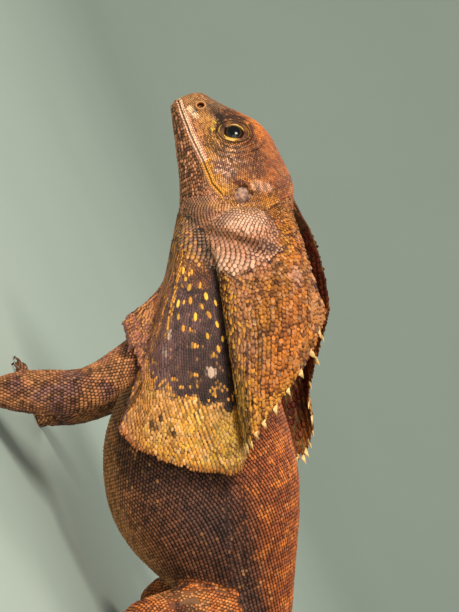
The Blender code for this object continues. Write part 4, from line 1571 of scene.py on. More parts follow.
@dataclass(frozen=True)
class Hide:
    """The colours of the skin and of every scale on the head, body, limbs and tail."""

    trunk: Trunk
    face: Face
    tones: Tones

    def _varied(self, colour: np.ndarray, chance: np.ndarray, amount: float) -> np.ndarray:
        """The colours, each lighter or darker by a little."""
        return colour * (1 + amount * (2 * np.abs(np.sin(chance * 47)) - 1.15))[:, None]

    def torso(self, places: np.ndarray, chance: np.ndarray) -> np.ndarray:
        """Colours of the trunk.

        Args:
            places: Body places.
            chance: A random number from 0 to 1 for each scale.

        Returns:
            One colour for each place.
        """
        tones = self.tones
        height = self.trunk.height_share(places)
        broad, fine = patchy(places, 16.0, 1.0), patchy(places, 4.0, 2.0)
        back, rings = ease(0.6, 0.86, height + broad * 0.07), 0.4 * np.sin(places[:, 1] / 2.1)
        colour = tones.layered(
            tones.plain("umber", len(places)),
            ("plum", 0.35 + 0.3 * broad),
            ("brown", ease(0.45, 0.2, height + fine * 0.05) * 0.6),
            ("tan", ease(0.22, 0.02, height) * 0.55),
            ("rust", back * 0.9),
            ("orange", back * ease(-0.1, 0.8, fine + rings) * 0.65),
            ("dark", ease(0.15, 0.8, broad) * ease(0.75, 0.5, height) * 0.5),
            ("tan", (chance > 0.95 - 0.05 * fine) * (0.15 + 0.3 * ease(-0.2, 0.6, broad))),
        )
        return self._varied(colour, chance, 0.45)

    def limb(self, places: np.ndarray, chance: np.ndarray) -> np.ndarray:
        """Colours of the legs and their digits.

        Args:
            places: Body places.
            chance: A random number from 0 to 1 for each.

        Returns:
            One colour for each place.
        """
        tones = self.tones
        broad, fine = patchy(places, 9.0, 3.0), patchy(places, 3.0, 3.5)
        hind = ease(85.0, 105.0, places[:, 1])
        wrist = ease(34.0, 44.0, np.abs(places[:, 0])) * (1 - hind)
        colour = tones.layered(
            tones.plain("flesh", len(places)),
            ("violet", ease(-0.2, 0.5, broad) * (1 - hind) * 0.8),
            ("rust", hind * 0.8),
            ("umber", ease(0.1, 0.7, fine) * 0.7),
            ("tan", ease(0.0, -0.6, broad) * 0.55),
            ("orange", hind * ease(0.2, -0.5, fine) * 0.5),
            ("umber", wrist * (0.35 + 0.4 * fine)),
            ("tan", (chance > 0.8) * 0.4),
        )
        return self._varied(colour, chance, 0.4) * (0.78 + 0.22 * hind)[:, None]

    def tail(self, places: np.ndarray, chance: np.ndarray) -> np.ndarray:
        """Colours of the tail, in soft dark bands towards its tip.

        Args:
            places: Body places.
            chance: A random number from 0 to 1 for each.

        Returns:
            One colour for each place.
        """
        tones = self.tones
        band = np.sin(places[:, 1] / 26.0 * 2 * math.pi) * ease(150.0, 330.0, places[:, 1])
        broad, fine = patchy(places, 10.0, 4.0), patchy(places, 3.0, 4.5)
        colour = tones.layered(
            tones.plain("rust", len(places)),
            ("brown", 0.4 + 0.3 * fine),
            ("dark", ease(0.1, 0.9, band + broad * 0.5) * 0.65),
            ("orange", ease(0.1, 0.7, fine) * ease(250.0, 130.0, places[:, 1]) * 0.5),
            ("tan", (chance > 0.88) * 0.5),
        )
        return self._varied(colour, chance, 0.3)

    def head(self, places: np.ndarray, chance: np.ndarray) -> np.ndarray:
        """Colours of the head and throat.

        Args:
            places: Body places.
            chance: A random number from 0 to 1 for each.

        Returns:
            One colour for each place.
        """
        tones, face = self.tones, self.face
        forward, up = -places[:, 1], places[:, 2]
        fine, grain = patchy(places, 2.6, 5.0), patchy(places, 1.5, 5.7)
        streaks = patchy(places * np.array((1.0, 0.28, 1.0)), 1.5, 6.0)
        mouth = face.mouth_height(forward)
        broad = patchy(places, 7.0, 5.9)
        colour = tones.layered(
            tones.plain("tan", len(places)),
            ("brown", 0.5 + 0.3 * fine + 0.35 * broad),
            ("orange", ease(137.0, 147.0, up + 2.5 * fine) * 0.45),
            ("rust", ease(140.0, 148.0, up + 3.0 * broad) * 0.65),
            ("ochre", ease(0.1, 0.8, broad) * ease(70.0, 45.0, forward) * 0.3),
        )
        colour = self.tones.marked(colour, HEAD_MARKS, forward, up, 0.5 * (fine + grain))
        cheek = ease(57.0, 51.0, forward) * ease(30.0, 34.0, forward) * ease(mouth + 2.0, mouth + 4.0, up)
        colour = tones.layered(
            colour,
            ("umber", cheek * ease(0.05, 0.6, streaks) * 0.6),
            ("dark", ease(0.4, 1.0, fine) * 0.45),
            ("tan", ease(0.35, 0.8, grain) * 0.4),
        )
        for at in ((51.0, 137.6), (47.5, 130.4)):
            near = spot(np.hypot(forward - at[0], up - at[1]), 5.0)
            colour = tones.layered(
                colour,
                ("violet", near * ease(-0.3, 0.3, fine) * 0.6),
                ("pink", near * (chance > 0.72) * 0.75),
            )
        place, long, short, _ = face.eye_axes(self.trunk, Side.LEFT)
        away = (places - place) * (0, 1, 1)
        x, y = away @ (long * (0, 1, 1)), away @ (short * (0, 1, 1))
        oval = np.hypot(x / face.lid_reach[0], y / face.lid_reach[1])
        # dark rings round the lids and arcs below the eye: painted shade in the folds that the skin is
        # sculpted with
        bags = (spot(oval - 1.5, 0.1) + spot(oval - 1.9, 0.1)) * ease(1.5, -2.5, y) * 0.7
        folds = spot(oval - 1.13, 0.09 + 0.05 * (y > 0)) + bags
        colour = tones.mixed(colour, "dark", folds * ease(-0.5, 0.2, fine + 0.5) * 0.9)
        throat = ease(mouth - 1.0, mouth - 2.6, up + 0.6 * fine)
        colour = tones.layered(
            colour,
            ("umber", throat * (0.75 + 0.3 * fine)),
            ("flesh", throat * (chance > 0.45) * 0.5),
            ("blush", throat * (chance > 0.72) * (0.5 + 0.4 * grain)),
            ("orange", throat * (chance > 0.9) * ease(60.0, 80.0, forward) * 0.8),
            ("ochre", (chance > 0.95) * (1 - throat) * 0.3),
        )
        crown = ease(138.0, 148.0, up) * ease(64.0, 50.0, forward) * ease(34.0, 43.0, forward)
        colour = tones.mixed(colour, "rust", crown * 0.3)
        # the crown is darkened as painted shade where the key light from above falls; the snout's front is
        # darker too
        light = 1 - 0.16 * crown - 0.16 * ease(66.0, 76.0, forward)
        return self._varied(colour, chance, 0.3) * light[:, None]

    def jowl(self, places: np.ndarray, chance: np.ndarray) -> np.ndarray:
        """Colours of the pale swelling behind the mouth's corner, and of the frill's root round it.

        Args:
            places: Body places.
            chance: A random number from 0 to 1 for each.

        Returns:
            One colour for each place.
        """
        tones = self.tones
        fine = patchy(places, 3.0, 5.0)
        colour = tones.mixed(tones.plain("flesh", len(places)), "brown", 0.3 + 0.4 * fine)
        colour = self.tones.marked(colour, JOWL_MARKS, -places[:, 1], places[:, 2], 0.7 * fine)
        colour = tones.layered(
            colour,
            ("flesh", (chance > 0.72) * 0.6),
            ("violet", ease(0.0, 0.8, patchy(places, 6.0, 5.3)) * 0.45),
            ("ochre", ease(110.0, 107.0, places[:, 2]) * (chance > 0.6) * 0.6),
        )
        return self._varied(colour, chance, 0.26) * 0.86


@dataclass(frozen=True)
class SkinBody:
    """The one skin that replaces the solids of flesh, and the forms that it follows."""

    place: Place
    trunk: Trunk
    face: Face
    tail: Tail
    folds: Folds
    limbs: tuple
    nodes: list
    voxel: float = 0.8
    inset: float = 0.45
    grow: float = 0.25
    lowest: float = 0.05
    root_reach: float = 0.31
    root_half: float = 0.75
    root_depth: float = 5.0
    fine_from: float = 27.0
    mouth_half: float = 0.4
    mouth_depth: float = 0.9
    jowl_crease: tuple = (20.5, 121.7)
    jowl_slope: tuple = (0.737, 0.676)
    groin: Mark = Mark((-79.0, 83.0), (-120.0, 66.0), 3.0, "dark")
    groin_depth: float = 0.9

    @property
    def hide(self) -> Hide:
        """What colours the skin and its scales."""
        return Hide(self.trunk, self.face, Tones())

    def _node_copy(self, name: str) -> bmesh.types.BMesh:
        """A merged copy of a solid, grown so that it meets its neighbours.

        Args:
            name: The solid's name.

        Returns:
            The copy.
        """
        shape = bmesh.new()
        shape.from_mesh(bpy.data.objects[name].data)
        bmesh.ops.remove_doubles(shape, verts=shape.verts, dist=1e-6)
        shape.normal_update()
        for vert in shape.verts:
            vert.co += vert.normal * (self.grow * MM)
        return shape

    def _trunk_shape(self) -> bmesh.types.BMesh:
        """The head, neck and trunk as one fine body.

        Returns:
            The closed body.
        """
        trunk = self.trunk
        places = np.concatenate([np.linspace(trunk.snout, 20, 60), np.linspace(19, trunk.end, 110)])
        shape = bmesh.new()
        roll(shape, self.place.world(trunk.ring(places, np.arange(96) / 96)))
        return shape

    def _jowl(self, side: Side) -> bmesh.types.BMesh:
        """The swelling behind the mouth's corner.

        Args:
            side: Which side it is on.

        Returns:
            The closed swelling.
        """
        face = self.face
        shape = bmesh.new()
        bmesh.ops.create_uvsphere(shape, u_segments=48, v_segments=32, radius=MM)
        bmesh.ops.scale(shape, verts=shape.verts, vec=Vector(face.jowl_radii))
        forward, up, out = face.jowl
        centre = self.place.world(body(forward, up, out * side.value))
        bmesh.ops.translate(shape, verts=shape.verts, vec=Vector(centre))
        return shape

    def _frill_root(self, side: Side) -> bmesh.types.BMesh:
        """The thick root from which the folded frill grows, as a tube round its line of growth.

        Args:
            side: Which side it is on.

        Returns:
            The closed tube.
        """
        rows = np.arange(0.05, self.folds.last - 0.02, 0.1)
        outer, inner = np.linspace(0.0, self.root_reach, 12), np.linspace(self.root_reach, 0.0, 12)
        shares = np.concatenate([outer, inner])
        below = -self.root_half - self.root_depth * (1 - inner / self.root_reach) ** 1.5
        lift = np.concatenate([np.full(12, self.root_half), below])
        rings = []
        for a in rows:
            here, _, normal = self.folds.facing(self.trunk, np.full(len(shares), a), shares, side)
            rings.append(here + normal * (lift * ease(-0.2, 1.2, a))[:, None])
        shape = bmesh.new()
        roll(shape, self.place.world(np.array(rings)))
        return shape

    def _raw(self) -> bpy.types.Object:
        """All the forms joined in one closed surface.

        Returns:
            The skin before it is sculpted.
        """
        joined = bmesh.new()
        names = [n for limb in self.limbs for side in Side for n in limb.nodes(side)]
        names += [n for n in self.nodes if n.startswith("tail_")]
        shapes = [self._trunk_shape()] + [self._jowl(side) for side in Side]
        shapes += [self._frill_root(side) for side in Side]
        shapes += [self._node_copy(name) for name in names]
        for shape in shapes:
            mesh = bpy.data.meshes.new("part")
            shape.to_mesh(mesh)
            shape.free()
            joined.from_mesh(mesh)
            bpy.data.meshes.remove(mesh)
        skin = from_bmesh(joined, "skin")
        remesh = skin.modifiers.new("one_surface", "REMESH")
        remesh.mode = "VOXEL"
        remesh.voxel_size = self.voxel * MM
        smooth = skin.modifiers.new("smooth", "SMOOTH")
        smooth.factor = 0.5
        smooth.iterations = 5
        return applied(skin)

    def _finer_head(self, skin: bpy.types.Object) -> None:
        """Divides the head's faces once more, for its folds and openings.

        Args:
            skin: The skin before it is sculpted.
        """
        shape = bmesh.new()
        shape.from_mesh(skin.data)
        limit = self.place.world(body(self.fine_from, 0.0, 0.0))[1]
        edges = [e for e in shape.edges if all(v.co.y < limit for v in e.verts)]
        bmesh.ops.subdivide_edges(shape, edges=edges, cuts=1, use_grid_fill=True, smooth=0.6)
        shape.to_mesh(skin.data)
        shape.free()

    def _sculpted(self, places: np.ndarray, normals: np.ndarray) -> np.ndarray:
        """The skin's points after the folds of the head and body are worked in.

        Args:
            places: Body places of the skin's points.
            normals: Their normals.

        Returns:
            New body places.
        """
        trunk, face = self.trunk, self.face
        forward, up, side = -places[:, 1], places[:, 2], np.abs(places[:, 0])
        low = ease(11.0, 7.0, up) * ease(30.0, 42.0, side)
        raised = -self.inset * (1 - 0.7 * low)
        head = forward > 24
        groove = spot(up - face.mouth_height(forward), self.mouth_half)
        sideways = np.abs(normals[:, 0]) + (forward > 80)
        groove = groove * ease(37.0, 39.0, forward) * head * ease(0.2, 0.5, sideways)
        raised = raised - groove * self.mouth_depth
        outward = np.abs(normals[:, 0]) * ease(14.0, 18.0, side) * ease(44.0, 38.0, forward)
        ahead, above = forward - self.jowl_crease[0], up - self.jowl_crease[1]
        cross = ahead * self.jowl_slope[0] + above * self.jowl_slope[1]
        along = above * self.jowl_slope[0] - ahead * self.jowl_slope[1]
        within = ease(21.0, 12.0, np.abs(along)) * outward
        raised += within * (1.5 * spot(np.abs(cross) - 8.0, 6.0) - 1.9 * spot(cross, 3.0))
        fold = self.groin.share(forward, up, 0 * up) * ease(20.0, 26.0, side)
        raised = raised - fold * self.groin_depth
        result = places + normals * raised[:, None]
        torn = 0.8 * patchy(places, 1.8, 3.0)
        for mirror in Side:
            place, long, short, out = face.eye_axes(trunk, mirror)
            away = places - place
            x, y, z = away @ long, away @ short, away @ out
            here = (z > -5) & (places[:, 0] * mirror.value > 0)
            hollow = ease(1.02, 0.75, np.hypot(x / face.opening[0], y / (face.opening[1] + 0.9))) * here
            swell = spot(np.hypot(x / 8.0, (y - 0.4) / 6.4), 1.0) * here
            result += out * (swell * 1.2)[:, None] - out * (hollow * 5.0)[:, None]
            brow = spot(np.hypot((x + 0.5) / 9.0, (y - 5.6) / 2.2), 1.0) * here
            oval = np.hypot(x / face.lid_reach[0], y / face.lid_reach[1])
            bags = (spot(oval - 1.5, 0.1) + spot(oval - 1.9, 0.1)) * 0.3 * ease(1.5, -2.0, y)
            rings = (spot(oval - 1.12, 0.08) * 0.5 + bags) * here
            result += out * (brow - rings)[:, None]
            centre, normal = trunk.surface(*face.ear, mirror)
            away = places - centre
            height = away @ normal
            distance = np.linalg.norm(away - normal * height[:, None], axis=1)
            beside = np.abs(height) < 5
            cup = ease(face.ear_radius - 0.1, face.ear_radius - 0.8, distance + torn) * beside
            above = (away @ np.array((0.0, -0.8, 0.6))) / face.ear_radius
            rim = spot(distance - face.ear_radius - 1.0, 0.9) * beside * ease(-0.4, 0.8, above)
            result += normal * (rim * 0.6 - cup * face.ear_depth)[:, None]
            centre, normal = trunk.surface(*face.nostril, mirror)
            distance = np.linalg.norm(places - centre, axis=1)
            hole = ease(face.nostril_radius + 0.3, face.nostril_radius - 0.4, distance)
            rim = spot(distance - face.nostril_radius - 0.9, 0.6)
            result += normal * (rim * 0.4 - hole * 2.2)[:, None]
        return result

    def build(self) -> bpy.types.Object:
        """The skin, sculpted and coloured.

        Returns:
            The finished skin.
        """
        skin = self._raw()
        self._finer_head(skin)
        places, normals = self.place.body(vertex_places(skin.data)), vertex_normals(skin.data)
        moved = self._sculpted(places, normals)
        moved[:, 2] = np.maximum(moved[:, 2], self.lowest)
        move_vertices(skin.data, self.place.world(moved))
        faces = sum(len(p.vertices) - 2 for p in skin.data.polygons)
        if faces > PIECE_LIMIT:
            thinner = skin.modifiers.new("thinner", "DECIMATE")
            thinner.ratio = PIECE_LIMIT / faces
            applied(skin)
        flesh = [n for n in self.nodes if not n.startswith(("frill_", "eye_", "eardrum_"))]
        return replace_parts(dress(skin, SkinFinish().material()), *flesh)


@dataclass(frozen=True)
class Coat:
    """The scales of the head, body, limbs and tail."""

    forms: SkinBody
    surface: Surface
    maker: ScaleMaker
    spacing: Spacing
    hide_finish: HornFinish = HornFinish("hide_scales", gap=0.9)
    face_finish: HornFinish = HornFinish("face_scales", gap=0.66, roughness=(0.38, 0.6), gloss=0.38)
    head_wide: tuple = ((0.0, 0.3, 0.6, 0.7, 1.0), (0.98, 0.84, 0.9, 1.35, 1.6))
    head_long: float = 0.9
    head_rows: tuple = (85.2, 13.0)
    head_lie: tuple = (0.0, 1.0, -0.12)
    head_fill: tuple = (1.1, 0.92, 0.2)
    head_end: float = -13.0
    torso_wide: tuple = ((0.0, 0.4, 0.7, 1.0), (1.55, 1.6, 1.8, 2.3))
    torso_long: float = 1.6
    torso_start: float = 16.0
    back_lie: tuple = (0.0, 1.0, 0.0)
    back_fill: tuple = (1.8, 1.5, 0.36)
    leg_start: float = 13.0
    leg_scale: tuple = (1.4, 1.5)
    leg_lie: tuple = (0.0, 0.5, -0.6)
    leg_fill: tuple = (1.7, 1.45, 0.34)
    leg_top: float = 60.0
    tail_scale: tuple = (1.9, 2.1)
    digit_scale: tuple = (1.75, 1.45, 0.3)
    digit_step: float = 1.25
    digit_around: int = 7
    digit_fat: tuple = ((-0.22, 0.35, 0.75, 1.0), (1.1, 1.0, 0.92, 0.9))
    jowl_scale: tuple = (2.05, 1.68, 0.42)
    jowl_fill: tuple = (1.6, 1.34, 0.4)
    jowl_apart: float = 1.72
    jowl_down: float = 1.3
    jowl_corner: tuple = (50.0, 104.0)
    jowl_run: float = 62.0
    jowl_lie: tuple = (0.0, 0.866, -0.5)
    lip_rows: tuple = (
        (0.66, 1.25, 0.85, 85.0, 54.0, "cream"),
        (1.5, 1.2, 0.85, 84.0, 54.0, "pink"),
        (2.3, 1.15, 0.8, 76.0, 56.0, "blush"),
        (-0.6, 1.2, 0.65, 84.0, 54.0, "pink"),
        (0.6, 1.15, 0.8, 54.0, 37.0, "ochre"),
        (1.35, 1.1, 0.8, 53.0, 38.0, "ochre"),
        (-0.6, 1.15, 0.85, 54.0, 35.0, "ochre"),
        (-1.35, 1.15, 0.7, 52.0, 36.0, "tan"),
    )

    def _admitted(self, sites: Sites, share: float = 0.8) -> Sites:
        """The sites that the ones already in place leave room for."""
        return self.spacing.thinned(sites, sites.size[:, 0] * share * 0.78, sites.size[:, 1] * share)

    def _settled(
        self,
        places: np.ndarray,
        lie: np.ndarray,
        size: np.ndarray,
        patch: np.ndarray,
        colours: Callable,
        seed: int,
    ) -> Sites:
        """Sites moved on to the skin, with their colours.

        Args:
            places: Body places near the skin.
            lie: The way that each scale lies.
            size: The length, width and height of each.
            patch: Where each lies on the piece's own map.
            colours: What gives their colours.
            seed: The seed of the random draw.

        Returns:
            The sites that lie near enough to the skin.
        """
        found, normals, keep = self.surface.nearest(places, 1.6)
        chance = np.random.default_rng(seed).random(len(places))
        sites = Sites(found, normals, lie, size, np.zeros((len(places), 3)), patch).chosen(keep)
        sites.tint = colours(sites.place, chance[keep])
        sites.fringe = sites.tint * 1.35
        return sites

    def _rows(self, first: float, last: float, long: float, wide: tuple) -> tuple:
        """Staggered rows of places round the trunk.

        Args:
            first: How far forward the first row lies.
            last: How far forward the last row lies.
            long: The distance between rows along the surface.
            wide: Shares of the half girth from the back's middle, and the distances across there.

        Returns:
            The places, their patches and the distance across at each.
        """
        trunk = self.forms.trunk
        turns = np.linspace(0, 0.5, 121)
        places, patch, apart = [], [], []
        forward, k = first, 0
        while forward > last:
            ring = trunk.ring(np.array([forward]), turns)[0]
            steps = np.linalg.norm(np.diff(ring, axis=0), axis=1)
            girth = np.concatenate([[0.0], np.cumsum(steps)])
            spacing = np.interp(girth / girth[-1], *wide)
            counts = np.concatenate([[0.0], np.cumsum(steps * 2 / (spacing[1:] + spacing[:-1]))])
            marks = np.arange(k % 2 / 2, counts[-1], 1.0)
            row = np.column_stack([np.interp(marks, counts, ring[:, c]) for c in range(3)])
            for mirror in (1, -1):
                skip = 1 if mirror < 0 and k % 2 == 0 else 0
                places.append((row * np.array((mirror, 1, 1)))[skip:])
                across = 0.5 + mirror * np.interp(marks[skip:], counts, girth) / 260.0
                down = np.full(len(across), (first - forward) / (first - last))
                patch.append(np.column_stack([across, down]))
                apart.append(np.interp(marks[skip:], counts, spacing))
            slope = np.abs(trunk.sizes(forward - 0.4)[0, :3] - trunk.sizes(forward)[0, :3]).max() / 0.4
            forward -= long / math.hypot(1.0, 0.7 * min(slope, 2.5))
            k += 1
        return np.vstack(places), np.vstack(patch), np.concatenate(apart)

    def torso_sites(self) -> Sites:
        """Rows of keeled scales round the trunk, wider on the belly.

        Returns:
            The sites.
        """
        long = self.torso_long
        places, patch, apart = self._rows(self.torso_start, self.forms.trunk.end, long, self.torso_wide)
        size = np.column_stack([np.full(len(apart), long * 1.3), apart * 1.04, 0.36 + 0.1 * (apart - 1.5)])
        lie = many(self.back_lie, len(places))
        return self._admitted(self._settled(places, lie, size, patch, self.forms.hide.torso, Seed.TORSO))

    def tube_sites(self, tube: Tube, first: float, last: float, scale: tuple, colours: Callable) -> Sites:
        """Rows of scales round a tail or leg.

        Args:
            tube: The form that they lie on.
            first: Where along the path the first row lies.
            last: Where the last row lies.
            scale: The distance between rows, and between the scales in a row.
            colours: What gives their colours.

        Returns:
            The sites.
        """
        long, wide = scale
        places, patch, lies, sizes = [], [], [], []
        run, k = first, 0
        while run < last:
            height = np.interp(run, tube.runs(), tube.sizes.mean(axis=1))
            count = max(5, round(2 * math.pi * height / wide))
            fit = min(1.0, 2 * math.pi * height / count / wide)
            turns = (np.arange(count) + (k % 2) / 2) / count
            places.append(tube.ring(run, turns % 1.0))
            lies.append(many(tube.heading(run), count))
            patch.append(np.column_stack([turns % 1.0, np.full(count, (run - first) / (last - first))]))
            sizes.append(many((long * 1.3 * fit, wide * 1.04 * fit, 0.36 * fit), count))
            run += long * max(0.55, fit)
            k += 1
        stacked = (np.vstack(rows) for rows in (places, lies, sizes, patch))
        return self._admitted(self._settled(*stacked, colours, Seed.TUBE + k))

    def digit_sites(self, ray: Ray, seed: int) -> Sites:
        """Small scales round a finger or toe, set on its own form.

        Args:
            ray: The digit.
            seed: The seed of the random draw.

        Returns:
            The sites.
        """
        shares = np.arange(-0.1, 1.02, self.digit_step / ray.length)
        draw = np.random.default_rng(seed)
        count = self.digit_around
        turns = (np.arange(count)[None, :] + (np.arange(len(shares)) % 2)[:, None] / 2) / count * 2 * math.pi
        across = np.cross(ray.aim, np.array((0.0, 0.0, 1.0)))
        normal = np.cos(turns)[:, :, None] * np.array((0, 0, 1.0)) + np.sin(turns)[:, :, None] * across
        fat = np.interp(shares, *self.digit_fat)[:, None, None] * ray.thick
        places = ray.centre(shares)[:, None, :] + normal * (fat - 0.05)
        places, normal = places.reshape(-1, 3), normal.reshape(-1, 3)
        keep = places[:, 2] > 0.35
        places, normal = places[keep], normal[keep]
        patch = draw.random((len(places), 2))
        tint = self.forms.hide.limb(places, draw.random(len(places)))
        lie, size = many(ray.aim, len(places)), many(self.digit_scale, len(places))
        return Sites(places, normal, lie, size, tint, patch)

    def fill(self, chosen: np.ndarray, lie: tuple, size: tuple, beside: Sites, seed: int) -> Sites:
        """Irregular scales on the skin's own points wherever the rows leave room.

        Args:
            chosen: A mask of the skin's points.
            lie: The way that the scales lie.
            size: Their length, width and height.
            beside: The scales in place, whose colours they take up.
            seed: The seed of the random draw.

        Returns:
            The sites.
        """
        surface = self.surface
        points, normals = surface.points[chosen], surface.normals[chosen]
        band = np.floor(np.sum(points * np.array((0.02, -1.0, 0.15)), axis=1) / 0.45)
        turn = np.arctan2(points[:, 0], points[:, 2] - 80.0)
        order = np.lexsort((turn, -band))
        points, normals, turn = points[order], normals[order], turn[order]
        patch = np.column_stack([np.mod(turn / (2 * math.pi) + 0.5, 1.0), np.mod(points[:, 1] / 440.0, 1.0)])
        count = len(points)
        sites = Sites(points, normals, many(lie, count), many(size, count), np.zeros((count, 3)), patch)
        sites = self.spacing.thinned(sites, np.full(count, size[0] * 0.8), np.full(count, size[1] * 0.86))
        near = nearest_sites(beside, sites.place)
        light = np.random.default_rng(seed).uniform(0.8, 1.2, (len(sites), 1))
        sites.tint, sites.fringe = beside.tint[near] * light, beside.fringe[near] * light
        return sites

    def _clear(self, points: np.ndarray) -> np.ndarray:
        """A mask of the places on the head that no eye, ear, nostril or mouth takes up.

        Args:
            points: Body places.

        Returns:
            The mask.
        """
        face, trunk = self.forms.face, self.forms.trunk
        keep = np.ones(len(points), bool)
        ear_radius = face.ear_radius - 0.6 + 0.8 * patchy(points, 1.7, 3.0)
        for mirror in Side:
            place, long, short, out = face.eye_axes(trunk, mirror)
            away = points - place
            x, y = (away @ long) / (face.lid_reach[0] + 0.1), (away @ short) / (face.lid_reach[1] + 0.1)
            here = (points[:, 0] * mirror.value > 0) & (np.abs(away @ out) < 9)
            keep &= ~((np.hypot(x, y) < 1.0) & here)
            for hole, radius in ((face.ear, ear_radius), (face.nostril, face.nostril_radius + 0.75)):
                keep &= np.linalg.norm(points - trunk.surface(*hole, mirror)[0], axis=1) > radius
        forward, up = -points[:, 1], points[:, 2]
        return keep & ~((np.abs(up - face.mouth_height(forward)) < 0.32) & (forward > 38))

    def head_sites(self, beside: Sites) -> Sites:
        """The fine, even scales of the head, throat and neck, and what fills in round those beside.

        Args:
            beside: The sites of the jowls and the frill.

        Returns:
            The sites.
        """
        places, patch, apart = self._rows(*self.head_rows, self.head_long, self.head_wide)
        long = np.maximum(self.head_long * 1.32, apart * 1.35)
        size = np.column_stack([long, apart * 1.06, 0.18 + 0.12 * (apart > 1.0)])
        lie = many(self.head_lie, len(places))
        keep = self._clear(places)
        rows = (values[keep] for values in (places, lie, size, patch))
        sites = self._settled(*rows, self.forms.hide.head, Seed.HEAD)
        head = self._admitted(sites.chosen(self._clear(sites.place)))
        points, normals = self.surface.points, self.surface.normals
        top, bottom = self.forms.trunk.sizes(-points[:, 1])[:, :2].T
        outward = points - np.column_stack([0 * top, points[:, 1], (top + bottom) / 2])
        faces_out = np.sum(unit(outward) * normals, axis=1) > 0.1
        rest = (points[:, 1] < self.head_end) & (faces_out | (points[:, 1] < -80.0)) & self._clear(points)
        beside = Sites.joined([head, beside])
        return Sites.joined([head, self.fill(rest, self.head_lie, self.head_fill, beside, Seed.HEAD_FILL)])

    def jowl_sites(self) -> Sites:
        """Rows of rounder scales over the swelling behind the mouth's corner, larger to its hind end.

        Returns:
            The sites of both jowls.
        """
        rows = []
        cast = self.surface.tree.ray_cast
        along, across, corner = np.array((-0.5, 0.866)), np.array((-0.866, -0.5)), np.array(self.jowl_corner)
        for side in Side:
            run, k = 0.0, 0
            while run < self.jowl_run:
                grow = 0.72 + 0.6 * float(ease(2.0, 30.0, run))
                for n in range(int(self.jowl_run / self.jowl_apart / grow)):
                    reach = (n + k % 2 / 2) * self.jowl_apart * grow - 14.0
                    forward, up = corner + across * (run + 1.1 * math.sin(reach / 7.0)) + along * reach
                    edge = JOWL.share(forward, up, 0.9 * noise.noise(Vector((forward / 4, up / 4, 3.0))))
                    if edge < 0.2:
                        continue
                    start = Vector((60.0 * side.value, -forward, up))
                    hit, normal, index, _ = cast(start, Vector((-side.value, 0, 0)))
                    if index is None or abs(hit.x) < 8.0 or abs(normal.x) < 0.4:
                        continue
                    smooth = unit(self.surface.smooth_normal(index))
                    patch = (reach / 60 + 0.25, run / self.jowl_run)
                    rows.append((*hit, *smooth, grow * (0.75 + 0.25 * edge), *patch))
                run += self.jowl_down * grow
                k += 1
        data = np.array(rows)
        places, normals, scale, patch = np.split(data, (3, 6, 7), axis=1)
        size, lie = np.array(self.jowl_scale)[None, :] * scale, many(self.jowl_lie, len(data))
        sites = Sites(places, normals, lie, size, np.zeros((len(data), 3)), patch)
        sites = self._admitted(sites.chosen(self._clear(sites.place)))
        points, normals = self.surface.points, self.surface.normals
        forward, up, side = -points[:, 1], points[:, 2], np.abs(points[:, 0])
        edge = JOWL.share(forward, up, 0.9 * patchy(points, 4.0, 3.0))
        chosen = (edge > 0.4) & (side > 6.0) & self._clear(points)
        chosen &= normals[:, 0] * np.sign(points[:, 0]) > 0.05
        rest = self.fill(chosen, self.jowl_lie, self.jowl_fill, sites, Seed.JOWL_FILL)
        sites = Sites.joined([sites, rest])
        chance = np.random.default_rng(Seed.JOWL).random(len(sites))
        sites.tint = self.forms.hide.jowl(sites.place, chance)
        sites.fringe = self.forms.hide.tones.mixed(sites.tint, "cream", np.full(len(sites), 0.25))
        return sites

    def lip_sites(self) -> Sites:
        """Rows of small plates above and below the line of the mouth.

        Returns:
            The sites of both sides.
        """
        face, trunk, tones = self.forms.face, self.forms.trunk, self.forms.hide.tones
        rows = []
        for lift, long, tall, first, last, tone in self.lip_rows:
            forward = np.arange(first, last, -long)
            up = face.mouth_height(forward) + lift
            for side in Side:
                places = body(forward, up, trunk.half_width(forward, up) * side.value)
                found, normals, keep = self.surface.nearest(places, 3.0)
                count = len(places)
                chance = np.random.default_rng(int(Seed.LIP + lift * 10) + side.value).random(count)
                tint = tones.mixed(tones.plain(tone, count), "brown", 0.04 + 0.35 * (chance > 0.78))
                tint = tint * (0.9 + 0.3 * chance)[:, None]
                lie, size = many(self.back_lie, count), many((long * 1.05, tall * 1.05, 0.26), count)
                down = np.full(count, 0.5 + side.value * (0.2 + lift * 0.04))
                patch = np.column_stack([forward / 100.0, down])
                rows.append(Sites(found, normals, lie, size, tint, patch).chosen(keep))
        return self._admitted(Sites.joined(rows), 0.7)

